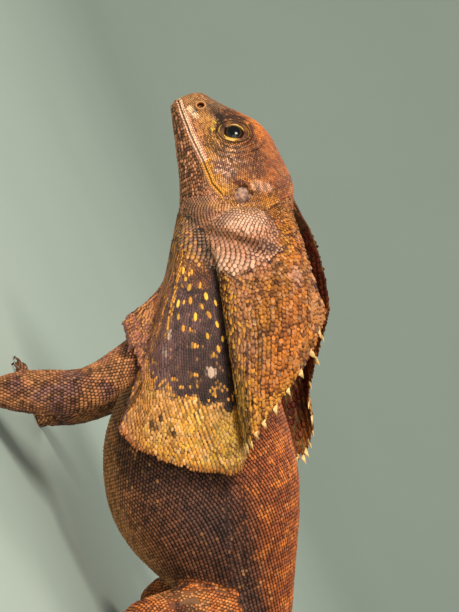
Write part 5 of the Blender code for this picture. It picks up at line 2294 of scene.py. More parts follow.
    def build(self, jowl: Sites, frill: Sites) -> list[Sites]:
        """All the coat of the skin.

        Args:
            jowl: The jowls' sites.
            frill: The outer sites of the frill.

        Returns:
            The sites that colour the skin below.
        """
        forms, maker = self.forms, self.maker
        hide, fine = self.hide_finish.material(), self.face_finish.material()
        lips = self.lip_sites()
        maker.build("lip_plates", lips, Forms.PLATE, fine, Slot.HEAD)
        maker.build("scales_jowl", jowl, Forms.PEBBLE, fine, Slot.FRILL)
        head = self.head_sites(Sites.joined([jowl, frill]))
        maker.build("scales_head", head, Forms.SMALL, fine, Slot.HEAD)
        groups = [lips, jowl, head]
        for limb in forms.limbs:
            parts, digits = [], []
            for side in Side:
                tube = limb.tube(side)
                last = tube.runs()[-1]
                parts.append(self.tube_sites(tube, self.leg_start, last, self.leg_scale, forms.hide.limb))
                digits += [self.digit_sites(ray, Seed.DIGIT + n) for n, ray in enumerate(limb.rays(side))]
            maker.build(f"scales_{limb.upper}s", Sites.joined(parts + digits), Forms.SMALL, hide, Slot.LIMB)
            groups += parts
        torso = self.torso_sites()
        tube = forms.tail.tube(forms.trunk)
        tail = self.tube_sites(tube, 0.0, forms.tail.length - 1.0, self.tail_scale, forms.hide.tail)
        points = self.surface.points
        low = points[:, 2] > 0.5
        wide = np.abs(points[:, 0]) > forms.trunk.sizes(np.clip(-points[:, 1], -150, 20))[:, 2] * 0.55
        beside = Sites.joined([*groups, torso, tail, frill])
        back = low & (points[:, 1] > self.head_end)
        legs = back & (points[:, 2] < self.leg_top) & wide
        legs = self.fill(legs, self.leg_lie, self.leg_fill, beside, Seed.LEG_FILL)
        back = self.fill(back, self.back_lie, self.back_fill, beside, Seed.BACK_FILL)
        maker.build("scales_torso", Sites.joined([torso, back]), Forms.KEELED, hide, Slot.BODY)
        maker.build("scales_tail", tail, Forms.KEELED, hide, Slot.TAIL)
        maker.build("scales_paws", legs, Forms.SMALL, hide, Slot.LIMB)
        return groups + [torso, back, tail, legs]


def nearest_sites(sites: Sites, places: np.ndarray) -> list[int]:
    """The numbers of the sites nearest to places.

    Args:
        sites: The sites.
        places: Body places.

    Returns:
        One number for each place.
    """
    tree = KDTree(len(sites))
    for n, at in enumerate(sites.place):
        tree.insert(at, n)
    tree.balance()
    return [tree.find(at)[1] for at in places]


def paint_skin(skin: bpy.types.Object, place: Place, sites: Sites, shade: float) -> None:
    """Gives a surface the markings of the scales nearest to each of its points, darker, as painted shade in
    the gaps between them.

    Args:
        skin: The surface below the scales.
        place: Where the animal's own millimetres lie.
        sites: All its scales.
        shade: How dark it is beside them.
    """
    near = nearest_sites(sites, place.body(vertex_places(skin.data)))
    paint_points(skin.data, sites.tint[near] * shade, np.zeros(len(near)))


@dataclass(frozen=True)
class Eyes:
    """Eyeballs, lids, eardrums and nostrils."""

    place: Place
    trunk: Trunk
    face: Face
    maker: ScaleMaker
    tones: Tones
    lid_section: tuple = (
        (0.0, -0.9),
        (0.0, 0.15),
        (0.06, 0.55),
        (0.2, 0.75),
        (0.42, 0.55),
        (0.62, 0.62),
        (0.85, 0.3),
        (1.05, -0.5),
        (0.5, -1.4),
    )
    beads: tuple = ((0.1, 44, 0.66), (0.34, 46, 0.74), (0.6, 46, 0.86), (0.84, 48, 0.94), (1.04, 50, 0.98))
    funnel: tuple = (
        (1.72, -0.6),
        (1.6, 0.12),
        (1.32, 0.36),
        (1.12, 0.25),
        (0.98, -0.35),
        (0.8, -1.5),
        (1.2, -2.2),
    )
    drum_depths: tuple = (0.07, 0.315, 0.504)
    drum_thick: float = 0.8
    drum_sunk: float = 1.15

    def _ball(self, side: Side) -> bpy.types.Object:
        """One eyeball.

        Args:
            side: Which side it is on.

        Returns:
            The eyeball.
        """
        face = self.face
        middle = self.place.world(face.eye_centre(self.trunk, side))
        gaze = face.eye_axes(self.trunk, side)[-1]
        shape = bmesh.new()
        bmesh.ops.create_uvsphere(shape, u_segments=48, v_segments=32, radius=face.eye_radius * MM)
        bmesh.ops.translate(shape, verts=shape.verts, vec=Vector(middle))
        finish = EyeFinish(f"eye_{side.label}", middle, gaze, face.eye_radius * MM)
        piece = dress(from_bmesh(shape, f"eyeball_{side.label}"), finish.material())
        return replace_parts(piece, f"eye_{side.label}")

    def _lid_point(self, turn: np.ndarray, reach: float, lift: float, side: Side) -> np.ndarray:
        """Places on the lids: round the eye, from the opening out to the brow, and above the ball.

        Args:
            turn: Angles round the eye.
            reach: 0 at the opening, 1 at the brow.
            lift: How far above the lid's base they lie, in mm.
            side: Which side it is on.

        Returns:
            One body place for each angle.
        """
        face = self.face
        place, long, short, out = face.eye_axes(self.trunk, side)
        point = np.sign(np.cos(turn)) * np.abs(np.cos(turn)) ** 0.8
        upper = np.where(np.sin(turn) > 0, 1.0, 1.16)
        inner_x, inner_y = face.opening[0] * point, face.opening[1] * np.sin(turn) * upper
        outer_x, outer_y = face.lid_reach[0] * np.cos(turn), face.lid_reach[1] * np.sin(turn)
        x = inner_x + (outer_x - inner_x) * reach
        y = inner_y + (outer_y - inner_y) * reach
        ball = face.eye_radius + 0.12
        over = np.sqrt(np.maximum(ball**2 - x**2 - y**2, 0.5)) - face.eye_sunk
        height = over * (1 - reach**1.5) + 0.35 * reach**1.5 + lift
        return place + x[:, None] * long + y[:, None] * short + height[:, None] * out

    def _lids(self, side: Side) -> bpy.types.Object:
        """The thick rims of both lids as one closed ring.

        Args:
            side: Which side it is on.

        Returns:
            The lids.
        """
        rings = [self._lid_point(circle(72), reach, lift, side) for reach, lift in self.lid_section]
        shape = bmesh.new()
        roll(shape, self.place.world(np.array(rings)), ring_of_rings=True)
        lids = from_bmesh(shape, f"lids_{side.label}")
        smooth = lids.modifiers.new("soft", "SUBSURF")
        smooth.levels = smooth.render_levels = 1
        return applied(lids)

    def _granules(self, side: Side) -> Sites:
        """Rows of fine beads along the lids, yellow below and in front and browner above, with the outermost
        row dark as painted shade in the crease round the lids.

        Args:
            side: Which side it is on.

        Returns:
            The sites.
        """
        rows = []
        tones = self.tones
        gaze = self.face.eye_axes(self.trunk, side)[-1]
        for n, (reach, count, size) in enumerate(self.beads):
            turn = (np.arange(count) + n % 2 / 2) / count * 2 * math.pi
            here = self._lid_point(turn, reach, 0.62 - 0.12 * n, side)
            ahead = self._lid_point(turn + 0.05, reach, 0.5, side) - here
            outward = self._lid_point(turn, reach + 0.1, 0.5, side) - here
            normal = unit(np.cross(ahead, outward))
            normal = normal * np.sign(normal @ gaze)[:, None]
            chance = np.random.default_rng(Seed.LID + n).random(count)
            brow = ease(-0.2, 0.8, np.sin(turn)) * ease(-0.3, 0.5, np.cos(turn))
            tint = tones.layered(
                tones.plain("yellow", count),
                ("blush", brow * 0.8),
                ("ochre", np.full(count, 0.5 * (n in (2, 3)))),
                ("brown", 0.04 * n + 0.2 * (chance > 0.75)),
                # the outermost row dark: painted shade in the crease round the lids
                ("dark", np.full(count, 0.9 * (n == len(self.beads) - 1))),
            )
            sizes = many((size * 1.15, size, 0.16), count)
            patch = np.column_stack([turn / 7.0, np.full(count, 0.3 + 0.1 * n)])
            rows.append(Sites(here, normal, ahead, sizes, tint, patch))
        return Sites.joined(rows)

    def _drum(self, side: Side) -> bpy.types.Object:
        """One eardrum, a taut disc that dips in its middle.

        Args:
            side: Which side it is on.

        Returns:
            The eardrum.
        """
        face = self.face
        centre, normal = self.trunk.surface(*face.ear, side)
        shape = bmesh.new()
        bmesh.ops.create_circle(shape, cap_ends=True, segments=40, radius=(face.ear_radius + 0.35) * MM)
        for depth in self.drum_depths:
            inner = [f for f in shape.faces if len(f.verts) > 4]
            bmesh.ops.inset_region(shape, faces=inner, thickness=(face.ear_radius * 0.16) * MM, depth=0.0)
            for vert in {v for f in shape.faces if len(f.verts) > 4 for v in f.verts}:
                vert.co.z = -depth * MM
        bmesh.ops.poke(shape, faces=[f for f in shape.faces if len(f.verts) > 4])
        grown = bmesh.ops.extrude_face_region(shape, geom=shape.faces[:])["geom"]
        back = [g for g in grown if isinstance(g, bmesh.types.BMVert)]
        bmesh.ops.translate(shape, verts=back, vec=Vector((0, 0, -self.drum_thick * MM)))
        turn = Vector(normal).to_track_quat("Z", "Y").to_matrix().to_4x4()
        middle = Vector(self.place.world(centre - normal * self.drum_sunk))
        bmesh.ops.transform(shape, matrix=Matrix.Translation(middle) @ turn, verts=shape.verts)
        bmesh.ops.recalc_face_normals(shape, faces=shape.faces)
        colours = (0.15, 0.07, 0.06), (0.52, 0.28, 0.17)
        finish = PlainFinish(f"drum_skin_{side.label}", *colours, roughness=0.5, grain=620.0, bump=0.6)
        piece = dress(from_bmesh(shape, f"eardrum_skin_{side.label}"), finish.material())
        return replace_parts(piece, f"eardrum_{side.label}")

    def _nostril(self, side: Side) -> bpy.types.Object:
        """The nostril's smooth funnel, darker deeper in as painted shade inside the hole.

        Args:
            side: Which side it is on.

        Returns:
            The nostril.
        """
        centre, normal = self.trunk.surface(*self.face.nostril, side)
        ahead = unit(np.cross(normal, np.array((0.0, 0.0, 1.0))))
        above = np.cross(ahead, normal)
        turn = circle(32)[:, None]
        rings = []
        for wide, lift in self.funnel:
            around = np.cos(turn) * ahead + np.sin(turn) * above * 1.1
            rings.append(centre + around * wide * self.face.nostril_radius + lift * normal)
        shape = bmesh.new()
        roll(shape, self.place.world(np.array(rings)), ring_of_rings=True)
        piece = from_bmesh(shape, f"nostril_{side.label}")
        depth = (self.place.body(vertex_places(piece.data)) - centre) @ normal
        # browner and dark red deeper in, and the rim value rising with depth darkens it further: painted
        # shade inside the hole
        tint = self.tones.layered(
            self.tones.plain("tan", len(depth)),
            ("brown", ease(0.4, 0.1, depth) * 0.5),
            ("red", ease(0.2, -0.3, depth)),
        )
        paint_points(piece.data, tint, ease(-0.2, -1.2, depth))
        return piece

    def build(self) -> None:
        """All the features of both sides."""
        colours = (0.55, 0.33, 0.12), (0.78, 0.52, 0.22)
        lid_finish = PlainFinish("lid_skin", *colours, roughness=0.42, grain=900.0, bump=0.3).material()
        nose_finish = HornFinish("nostril_skin", gap=0.9).material()
        scale_finish = HornFinish("lid_scales", gap=0.45, roughness=(0.36, 0.55)).material()
        granules = []
        for side in Side:
            self._ball(side)
            dress(self._lids(side), lid_finish)
            self._drum(side)
            dress(self._nostril(side), nose_finish)
            granules.append(self._granules(side))
        self.maker.build("lid_beads", Sites.joined(granules), Forms.PEBBLE, scale_finish, Slot.HEAD)


SHEET_ACROSS = 10.0
SHEET_ALONG = 85.0


def sheet_mark(start: tuple, end: tuple, wide: float, tone: str, amount: float = 1.0) -> Mark:
    """A mark on the frill, given by ribs and shares of their length."""
    places = ((a * SHEET_ACROSS, share * SHEET_ALONG) for a, share in (start, end))
    return Mark(*places, wide, tone, amount)


BIB_SPOTS = (
    *((7.0, 0.30), (7.1, 0.35), (7.3, 0.41), (6.9, 0.46), (7.65, 0.33), (7.7, 0.40), (7.62, 0.48)),
    *((6.55, 0.31), (6.45, 0.37), (7.45, 0.29), (7.95, 0.44), (7.9, 0.53), (6.7, 0.27), (7.3, 0.52)),
    *((6.4, 0.24), (7.05, 0.24), (8.0, 0.36), (7.75, 0.55), (6.6, 0.42), (7.5, 0.37), (8.1, 0.5)),
)
LOW_SPOTS = ((7.65, 0.615), (6.9, 0.25), (6.8, 0.36), (7.15, 0.46), (6.75, 0.66), (7.3, 0.63))
BIB_MARKS = (
    sheet_mark((5.0, 0.05), (8.6, 0.05), 6.0, "flesh", 0.2),
    sheet_mark((5.95, 0.18), (6.05, 0.52), 1.3, "ochre", 0.9),
    sheet_mark((6.1, 0.5), (6.2, 0.62), 1.1, "violet", 0.8),
    *(sheet_mark(at, at, 0.8, "ochre", 1.0) for at in BIB_SPOTS + LOW_SPOTS),
    *(sheet_mark(at, at, 0.7, "yellow", 0.6) for at in BIB_SPOTS[::2]),
    sheet_mark((7.65, 0.61), (7.66, 0.62), 1.1, "ash", 1.0),
    sheet_mark((6.2, 0.49), (6.2, 0.50), 1.2, "ash", 0.9),
    sheet_mark((6.12, 0.57), (6.14, 0.58), 1.0, "ash", 0.9),
    sheet_mark((7.2, 0.06), (8.4, 0.24), 4.0, "dark", 0.85),
    sheet_mark((8.4, 0.2), (8.7, 0.45), 3.0, "dark", 0.8),
)
BAND_MARKS = (
    sheet_mark((6.35, 0.82), (6.4, 0.83), 0.9, "dark", 0.9),
    sheet_mark((6.1, 0.86), (6.2, 0.88), 1.0, "umber", 0.9),
    sheet_mark((6.75, 0.87), (6.8, 0.875), 0.8, "dark", 0.9),
    sheet_mark((7.6, 0.68), (7.62, 0.69), 0.9, "dark", 0.8),
)
LOBE_MARKS = (
    sheet_mark((10.2, 0.2), (9.9, 0.62), 7.0, "umber", 0.9),
    sheet_mark((9.8, 0.36), (9.9, 0.5), 4.0, "dark", 0.6),
    sheet_mark((11.2, 0.38), (11.0, 0.62), 7.0, "blush", 0.35),
    sheet_mark((12.4, 0.36), (11.9, 0.42), 4.0, "flesh", 0.5),
    # painted shadow in the crease between the jowl and the hind lobe
    sheet_mark((12.2, 0.30), (13.4, 0.26), 2.2, "umber", 0.45),
    sheet_mark((13.4, 0.2), (14.0, 0.42), 6.0, "orange", 0.6),
    sheet_mark((13.65, 0.22), (13.6, 0.33), 3.0, "ochre", 0.55),
    sheet_mark((13.6, 0.47), (13.7, 0.55), 2.6, "blush", 0.95),
    sheet_mark((13.2, 0.65), (12.4, 0.88), 8.0, "orange", 0.6),
    sheet_mark((10.3, 0.75), (10.4, 0.98), 5.5, "olive", 0.7),
    sheet_mark((11.2, 0.9), (12.6, 0.97), 3.5, "ochre", 0.6),
)


@dataclass(frozen=True)
class Frill:
    """The folded frill: two thin sheets with scales on both faces, spines and a toothed edge."""

    place: Place
    trunk: Trunk
    folds: Folds
    maker: ScaleMaker
    tones: Tones
    columns: int = 210
    rows: int = 60
    thick: float = 1.1
    thinning: float = 0.65
    spine_ribs: tuple = (9.9, 10.35, 10.8, 11.3, 11.8, 12.3, 12.8, 13.3, 13.8, 14.3)
    spine_length: float = 3.0
    spine_root: float = 1.6
    spine_width: float = 1.75
    spine_thick: float = 0.7
    hem_cut: float = 0.032
    hem_step: float = 1.3
    hem_clear: float = 0.11
    spot_scale: tuple = (2.6, 1.5, 0.34)
    large_spot: tuple = (3.8, 2.6, 0.4)
    outer_step: tuple = (0.36, 0.55)
    inner_step: tuple = (0.6, 0.8)
    hem: float = 0.992
    hem_margin: float = 0.008
    rib_length: float = 90.0
    bury: float = 0.04

    def _edge(self, a: np.ndarray) -> np.ndarray:
        """How far the free edge lies out, as a share of the rib, with its tears and teeth.

        Args:
            a: How far round each place is, counted in ribs.

        Returns:
            One share for each place.
        """
        ragged, fine, tiny = (
            np.array([noise.noise(Vector((v * often, at, 0.0))) for v in a])
            for often, at in ((1.7, 3.1), (7.0, 8.1), (21.0, 5.1))
        )
        spines = np.array(self.spine_ribs)
        above = np.searchsorted(spines, a - 0.02).clip(1, len(spines) - 1)
        cut = (a - spines[above - 1]) / (spines[above] - spines[above - 1])
        cut = cut.clip(0.0, 1.0) * (a < spines[-1]) * ease(9.4, 9.8, a)
        return 1.0 + 0.012 * ragged + 0.016 * fine + 0.012 * tiny - self.hem_cut * cut

    def _half(self, share: np.ndarray) -> np.ndarray:
        """Half the sheet's thickness."""
        return self.thick / 2 * (1 - self.thinning * share)

    def sheet(self, side: Side) -> bpy.types.Object:
        """The bare sheet of one half.

        Args:
            side: Which side it is on.

        Returns:
            The sheet.
        """
        shape = bmesh.new()
        bmesh.ops.create_grid(shape, x_segments=self.columns, y_segments=self.rows, size=1.0)
        piece = from_bmesh(shape, f"frill_sheet_{side.label}")
        flat = vertex_places(piece.data)
        a = (flat[:, 0] + 1) / 2 * self.folds.last
        share = (flat[:, 1] + 1) / 2
        places, _, normal = self.folds.facing(self.trunk, a, share * self._edge(a), side)
        places = places - normal * (1.1 * ease(0.33, 0.2, share))[:, None]
        move_vertices(piece.data, self.place.world(places))
        group = piece.vertex_groups.new(name="thick")
        for n, s in enumerate(share):
            group.add([n], float(1 - self.thinning * s), "REPLACE")
        solid = piece.modifiers.new("thickness", "SOLIDIFY")
        solid.thickness = self.thick * MM
        solid.offset = 0.0
        solid.vertex_group = "thick"
        applied(piece)
        shape = bmesh.new()
        shape.from_mesh(piece.data)
        bmesh.ops.recalc_face_normals(shape, faces=shape.faces)
        shape.to_mesh(piece.data)
        shape.free()
        return piece

    def _parts(self, a: np.ndarray, share: np.ndarray, fine: np.ndarray) -> tuple:
        """How far each place belongs to the hind lobe, the pale band and the front flap.

        Args:
            a: How far round each place is, counted in ribs.
            share: How far each place is from the neck to the free edge.
            fine: Noise that breaks up the borders.

        Returns:
            Three shares from 0 to 1 for each place.
        """
        lobe = ease(9.0, 9.5, a)
        border = 0.725 + 0.03 * fine + 0.03 * np.clip(a - 7.2, 0, None)
        band = ease(-0.02, 0.02, share - border) * (1 - lobe) * ease(4.9, 5.3, a)
        flap = ease(5.0, 4.5, a) * ease(0.5, 0.66, share)
        return lobe, band, flap

    def outer_tone(
        self, a: np.ndarray, share: np.ndarray, places: np.ndarray, chance: np.ndarray
    ) -> np.ndarray:
        """Colours of the frill's outer face.

        Args:
            a: How far round, counted in ribs.
            share: How far from the neck to the free edge.
            places: Body places, for the noise.
            chance: A random number for each.

        Returns:
            One colour for each.
        """
        tones, count = self.tones, len(a)
        broad, fine = patchy(places, 12.0, 7.0), patchy(places, 4.0, 8.0)
        x, y, ragged = a * SHEET_ACROSS, share * SHEET_ALONG, 0.8 * fine
        streaks = patchy(np.column_stack([x / 1.3, y / 9.0, 0 * a]), 1.0, 9.0)
        grain = patchy(places, 1.6, 8.5)
        cracks = patchy(np.column_stack([x / 5.0, y / 1.5, 0 * a]), 1.0, 9.5)
        lobe, band, flap = self._parts(a, share, fine + 0.4 * broad)
        upper, throat = ease(0.32, 0.22, share + 0.04 * fine), ease(5.7, 5.2, a) * ease(0.75, 0.5, share)
        bib = tones.layered(
            tones.plain("violet", count),
            ("plum", 0.6 + 0.5 * streaks),
            ("dark", ease(6.4, 8.2, a + 0.5 * broad) * 0.65 + 0.3 * ease(-0.2, 0.8, fine)),
            ("brown", upper * 0.85),
            ("tan", upper * ease(0.1, 0.5, streaks) * 0.55),
            ("umber", ease(0.24, 0.12, share) * ease(4.6, 5.6, a) * 0.45),
            ("dark", ease(0.42, 0.56, share + 0.03 * fine) * ease(6.1, 6.8, a) * 0.42),
            ("violet", ease(6.9, 6.3, a) * ease(0.4, 0.6, share) * 0.4),
            ("tan", (chance > 0.95) * 0.35),
            ("ochre", (chance > 0.8) * ease(0.62, 0.72, share) * 0.9),
        )
        bib = tones.marked(bib, BIB_MARKS, x, y, 0.5 * ragged)
        bib = tones.layered(
            bib,
            ("brown", throat * 0.7),
            ("ochre", throat * ease(0.05, 0.5, streaks) * 0.85),
        )
        pale = tones.layered(
            tones.plain("ochre", count),
            ("yellow", ease(0.0, 0.7, fine) * 0.5),
            ("cream", ease(0.0, 0.6, grain) * 0.35),
            ("tan", ease(0.0, 0.8, broad) * 0.6),
            ("brown", ease(-0.2, -0.7, grain) * 0.45),
            ("flesh", ease(6.4, 5.6, a) * 0.5),
            ("olive", ease(7.1, 8.0, a + 0.3 * fine) * 0.55),
        )
        pale = tones.marked(pale, BAND_MARKS, x, y, 0.5 * ragged)
        pale = tones.mixed(pale, "rust", ease(0.972, 0.99, share + 0.01 * fine) * 0.7)
        bib = bib * (1 - band)[:, None] + pale * band[:, None]
        front = tones.layered(
            tones.plain("violet", count),
            ("flesh", 0.4 - 0.4 * fine),
            ("umber", ease(0.1, 0.8, fine) * 0.7),
            ("tan", ease(0.2, 0.8, broad) * 0.5),
        )
        bib = bib * (1 - flap)[:, None] + front * flap[:, None]
        sail = tones.layered(
            tones.plain("ochre", count),
            ("orange", 0.38 + 0.3 * broad),
            ("flesh", ease(0.1, -0.5, broad) * 0.6),
            ("brown", 0.4 + 0.35 * streaks),
        )
        sail = tones.marked(sail, LOBE_MARKS, x, y, ragged)
        sail = tones.layered(
            sail,
            ("umber", ease(0.25, 0.9, fine) * 0.5),
            ("umber", ease(0.35, 0.7, cracks) * 0.75 + ease(0.4, 0.8, streaks) * 0.4),
            ("ochre", (chance > 0.78) * ease(12.2, 10.8, a) * 0.8),
            ("umber", spot(a - 9.4, 0.4) * ease(0.97, 0.8, share) * 0.7),
        )
        light = lobe * (0.8 + 0.2 * ease(0.6, 0.8, share))
        colour = bib * (1 - lobe)[:, None] + sail * light[:, None]
        return colour * (0.88 + (0.6 - 0.22 * lobe) * (np.abs(np.sin(chance * 60)) - 0.5))[:, None]

    def fringe_tone(
        self, a: np.ndarray, share: np.ndarray, tint: np.ndarray, chance: np.ndarray
    ) -> np.ndarray:
        """Colours of the free tips of the outer scales.

        Args:
            a: How far round each place is, counted in ribs.
            share: How far each place is from the neck to the free edge.
            tint: The scales' own colours.
            chance: A random number from 0 to 1 for each.

        Returns:
            One colour for each place.
        """
        lobe, _, flap = self._parts(a, share, 0 * a)
        yellow = lobe * (0.35 + 0.5 * (chance > 0.6)) * ease(12.6, 10.4, a) + flap * 0.9 * (chance > 0.45)
        return self.tones.layered(
            tint * 1.12,
            ("ochre", yellow * 0.85),
            ("umber", lobe * (np.abs(chance - 0.55) < 0.2) * ease(10.4, 11.4, a) * 0.9),
            ("cream", lobe * (chance < 0.2) * 0.3),
        )

    def inner_tone(
        self, a: np.ndarray, share: np.ndarray, places: np.ndarray, chance: np.ndarray
    ) -> np.ndarray:
        """Colours of the frill's inner face.

        Args:
            a: How far round each place is, counted in ribs.
            share: How far each place is from the neck to the free edge.
            places: Body places.
            chance: A random number from 0 to 1 for each.

        Returns:
            One colour for each place.
        """
        tones = self.tones
        colour = tones.layered(
            tones.plain("red", len(a)),
            ("orange", ease(0.85, 1.0, share) * 0.5),
            ("umber", ease(0.0, 0.6, patchy(places, 8.0, 9.0)) * 0.5),
        )
        return colour * (0.8 + 0.4 * chance)[:, None]

    def scale_size(self, a: np.ndarray, share: np.ndarray, outer: bool) -> np.ndarray:
        """Length, width and height of the scales at places on one face.

        Args:
            a: How far round each place is, counted in ribs.
            share: How far each place is from the neck to the free edge.
            outer: Whether it is the outer face.

        Returns:
            One row for each place.
        """
        count = len(a)
        grow = 0.45 + 0.55 * np.clip(share * 2.3, 0.0, 1.0)
        if not outer:
            return np.column_stack([2.5 * grow, 2.2 * grow, 0.3 * grow])
        lobe, band, flap = self._parts(a, share, np.zeros(count))
        sail = lobe * ease(10.6, 11.8, a)
        long = 1.35 + 0.65 * lobe - 0.4 * sail + 0.1 * band
        wide = 0.95 + 0.3 * lobe + 0.4 * sail + 0.3 * band + 0.15 * flap
        height = 0.2 + 0.12 * lobe - 0.04 * sail + 0.04 * flap
        return np.column_stack([long * grow, wide * grow, height * (1 - 0.3 * share)])

    def _along(self, share: float, apart: float, steps: int, side: Side) -> np.ndarray:
        """Places at even distances across the ribs.

        Args:
            share: How far they lie from the neck to the free edge.
            apart: The distance between them, in mm.
            steps: How finely the line is measured.
            side: Which half it is on.

        Returns:
            How far round each lies, counted in ribs.
        """
        fine = np.linspace(0.02, self.folds.last - 0.02, steps)
        runs = lengths(self.folds.points(self.trunk, fine, np.full(steps, share), side))
        return np.interp(np.arange(0.0, runs[-1], apart), runs, fine)

    def sites(self, side: Side, outer: bool, first: float) -> Sites:
        """Scales over one face of one half.

        Args:
            side: Which half.
            outer: Whether it is the face that shows when the frill is folded.
            first: The share of the ribs at which they start.

        Returns:
            The sites.
        """
        spacing, kept = Spacing(SCALE_ROOM), []
        apart, down = self.outer_step if outer else self.inner_step
        if outer:
            at = np.array(BIB_SPOTS + LOW_SPOTS)
            here, lie, normal = self.folds.facing(self.trunk, at[:, 0], at[:, 1], side)
            size = many(self.spot_scale, len(at)) * np.linspace(1.1, 0.6, len(at))[:, None]
            size[len(BIB_SPOTS)] = self.large_spot
            spacing.admit_all(here, lie, np.cross(normal, lie), size)
            kept.append(np.column_stack([at, here, lie, normal, size]))
        share = first
        while share < self.hem:
            a = self._along(share, apart, 900, side)
            a = a[share < self._edge(a) - self.hem_margin]
            rows = np.full(len(a), share)
            here, lie, normal = self.folds.facing(self.trunk, a, rows, side)
            size = self.scale_size(a, rows, outer)
            keep = spacing.admit_all(here, lie, np.cross(normal, lie), size)
            kept.append(np.column_stack([a, rows, here, lie, normal, size])[keep])
            share += down / self.rib_length
        a, share, here, lie, normal, size = np.split(np.vstack(kept), (1, 2, 5, 8, 11), axis=1)
        a, share = a[:, 0], share[:, 0]
        facing = 1.0 if outer else -1.0
        places = here + normal * ((self._half(share) - self.bury) * facing)[:, None]
        chance = np.random.default_rng(Seed.FRILL + side.value + outer).random(len(a))
        tint = (self.outer_tone if outer else self.inner_tone)(a, share, here, chance)
        fringe = self.fringe_tone(a, share, tint, chance) if outer else tint * 1.1
        patch = np.column_stack([a / self.folds.last, share])
        over = 1.1 + 0.09 * ease(9.5, 11.0, a) * outer
        size = size * np.column_stack([over + 0.2, over, np.ones(len(a))])
        return Sites(places, normal * facing, lie, size, tint, patch, fringe)

    def rooted(self, sites: Sites, surface: Surface, hide: Hide, spacing: Spacing) -> Sites:
        """The outer scales with those near the root laid on the skin, and what lies inside it left out.

        Args:
            sites: The outer scales of one half.
            surface: The skin.
            hide: What colours the root.
            spacing: The room that these scales take up.

        Returns:
            The scales that show.
        """
        low = sites.patch[:, 1] < 0.36
        root, rest = sites.chosen(low), sites.chosen(~low)
        found, normals, near = surface.nearest(root.place, 2.6)
        depth = np.sum((root.place - found) * normals, axis=1)
        keep = near & (depth > -1.5) & (np.sum(normals * root.normal, axis=1) > 0.3)
        share = root.patch[:, 1]
        settle = (ease(0.335, 0.3, share) * keep)[:, None]
        root.place = root.place + (found - root.place) * settle
        root.normal = unit(root.normal * (1 - settle) + normals * settle)
        pale = hide.jowl(root.place, np.random.default_rng(Seed.FRILL_ROOT).random(len(root)))
        forward, up = -root.place[:, 1], root.place[:, 2]
        near_jowl = JOWL.share(forward, up, 0.5 * patchy(root.place, 4.0, 5.0))
        near_jowl = near_jowl * (np.abs(root.place[:, 0]) > 8)
        near_jowl = (near_jowl * ease(8.3, 9.0, root.patch[:, 0] * self.folds.last))[:, None]
        root.tint = root.tint * (1 - near_jowl) + pale * near_jowl
        root.fringe = root.fringe * (1 - near_jowl) + pale * 1.15 * near_jowl
        root = root.chosen(keep | (share > 0.31))
        root = spacing.thinned(root, root.size[:, 0] * 0.62, root.size[:, 1] * 0.8)
        return Sites.joined([root, rest])

    def edge_sites(self, side: Side) -> Sites:
        """Small pointed scales along the free edge, which the spines interrupt.

        Args:
            side: Which side it is on.

        Returns:
            The sites.
        """
        a = self._along(1.0, self.hem_step, 1500, side)
        a = a[np.abs(a[:, None] - np.array(self.spine_ribs)[None, :]).min(axis=1) > self.hem_clear]
        here, lie, normal = self.folds.facing(self.trunk, a, self._edge(a) - 0.006, side)
        chance = np.random.default_rng(Seed.FRILL_EDGE + side.value).random(len(a))
        tint = self.outer_tone(a, np.full(len(a), 0.985), here, chance)
        tint = self.tones.mixed(tint, "brown", 0.5 * (chance > 0.4))
        size = np.column_stack([1.2 + chance, np.full(len(a), 1.3), np.full(len(a), 0.4)])
        patch = np.column_stack([a / self.folds.last, np.full(len(a), 0.99)])
        return Sites(here, normal, lie, size, tint, patch)

    def spines(self, side: Side) -> bpy.types.Object:
        """The row of broad, pale spines on the hind lobe's edge.

        Args:
            side: Which side it is on.

        Returns:
            The spines of one half.
        """
        shape = bmesh.new()
        draw = np.random.default_rng({Side.LEFT: 7, Side.RIGHT: 11}[side])
        for a in self.spine_ribs:
            places = np.array([a, a + 0.1, a])
            tip, beside, inner = self.folds.points(self.trunk, places, np.array([1.0, 1.0, 0.93]), side)
            outward, along = unit(tip - inner), unit(beside - tip)
            outward = unit(outward - along * (outward @ along) * 0.85)
            across = unit(np.cross(outward, along))
            size = draw.uniform(0.8, 1.15)
            made = bmesh.ops.create_cone(
                shape, cap_ends=True, segments=14, radius1=1.0, radius2=0.05, depth=1.0
            )["verts"]
            for vert in made:
                reach = vert.co.z + 0.5
                out = -self.spine_root + reach * (self.spine_length * size + self.spine_root)
                place = tip + outward * out - along * 0.7 * reach * reach
                place = place + along * vert.co.x * self.spine_width * size
                vert.co = Vector(self.place.world(place + across * vert.co.y * self.spine_thick))
        bmesh.ops.recalc_face_normals(shape, faces=shape.faces)
        return from_bmesh(shape, f"frill_spines_{side.label}")

    def outer_sites(self, surface: Surface, hide: Hide, spacing: Spacing) -> dict:
        """The outer scales of both halves, whose roots take up their room on the skin."""
        return {side: self.rooted(self.sites(side, True, 0.05), surface, hide, spacing) for side in Side}

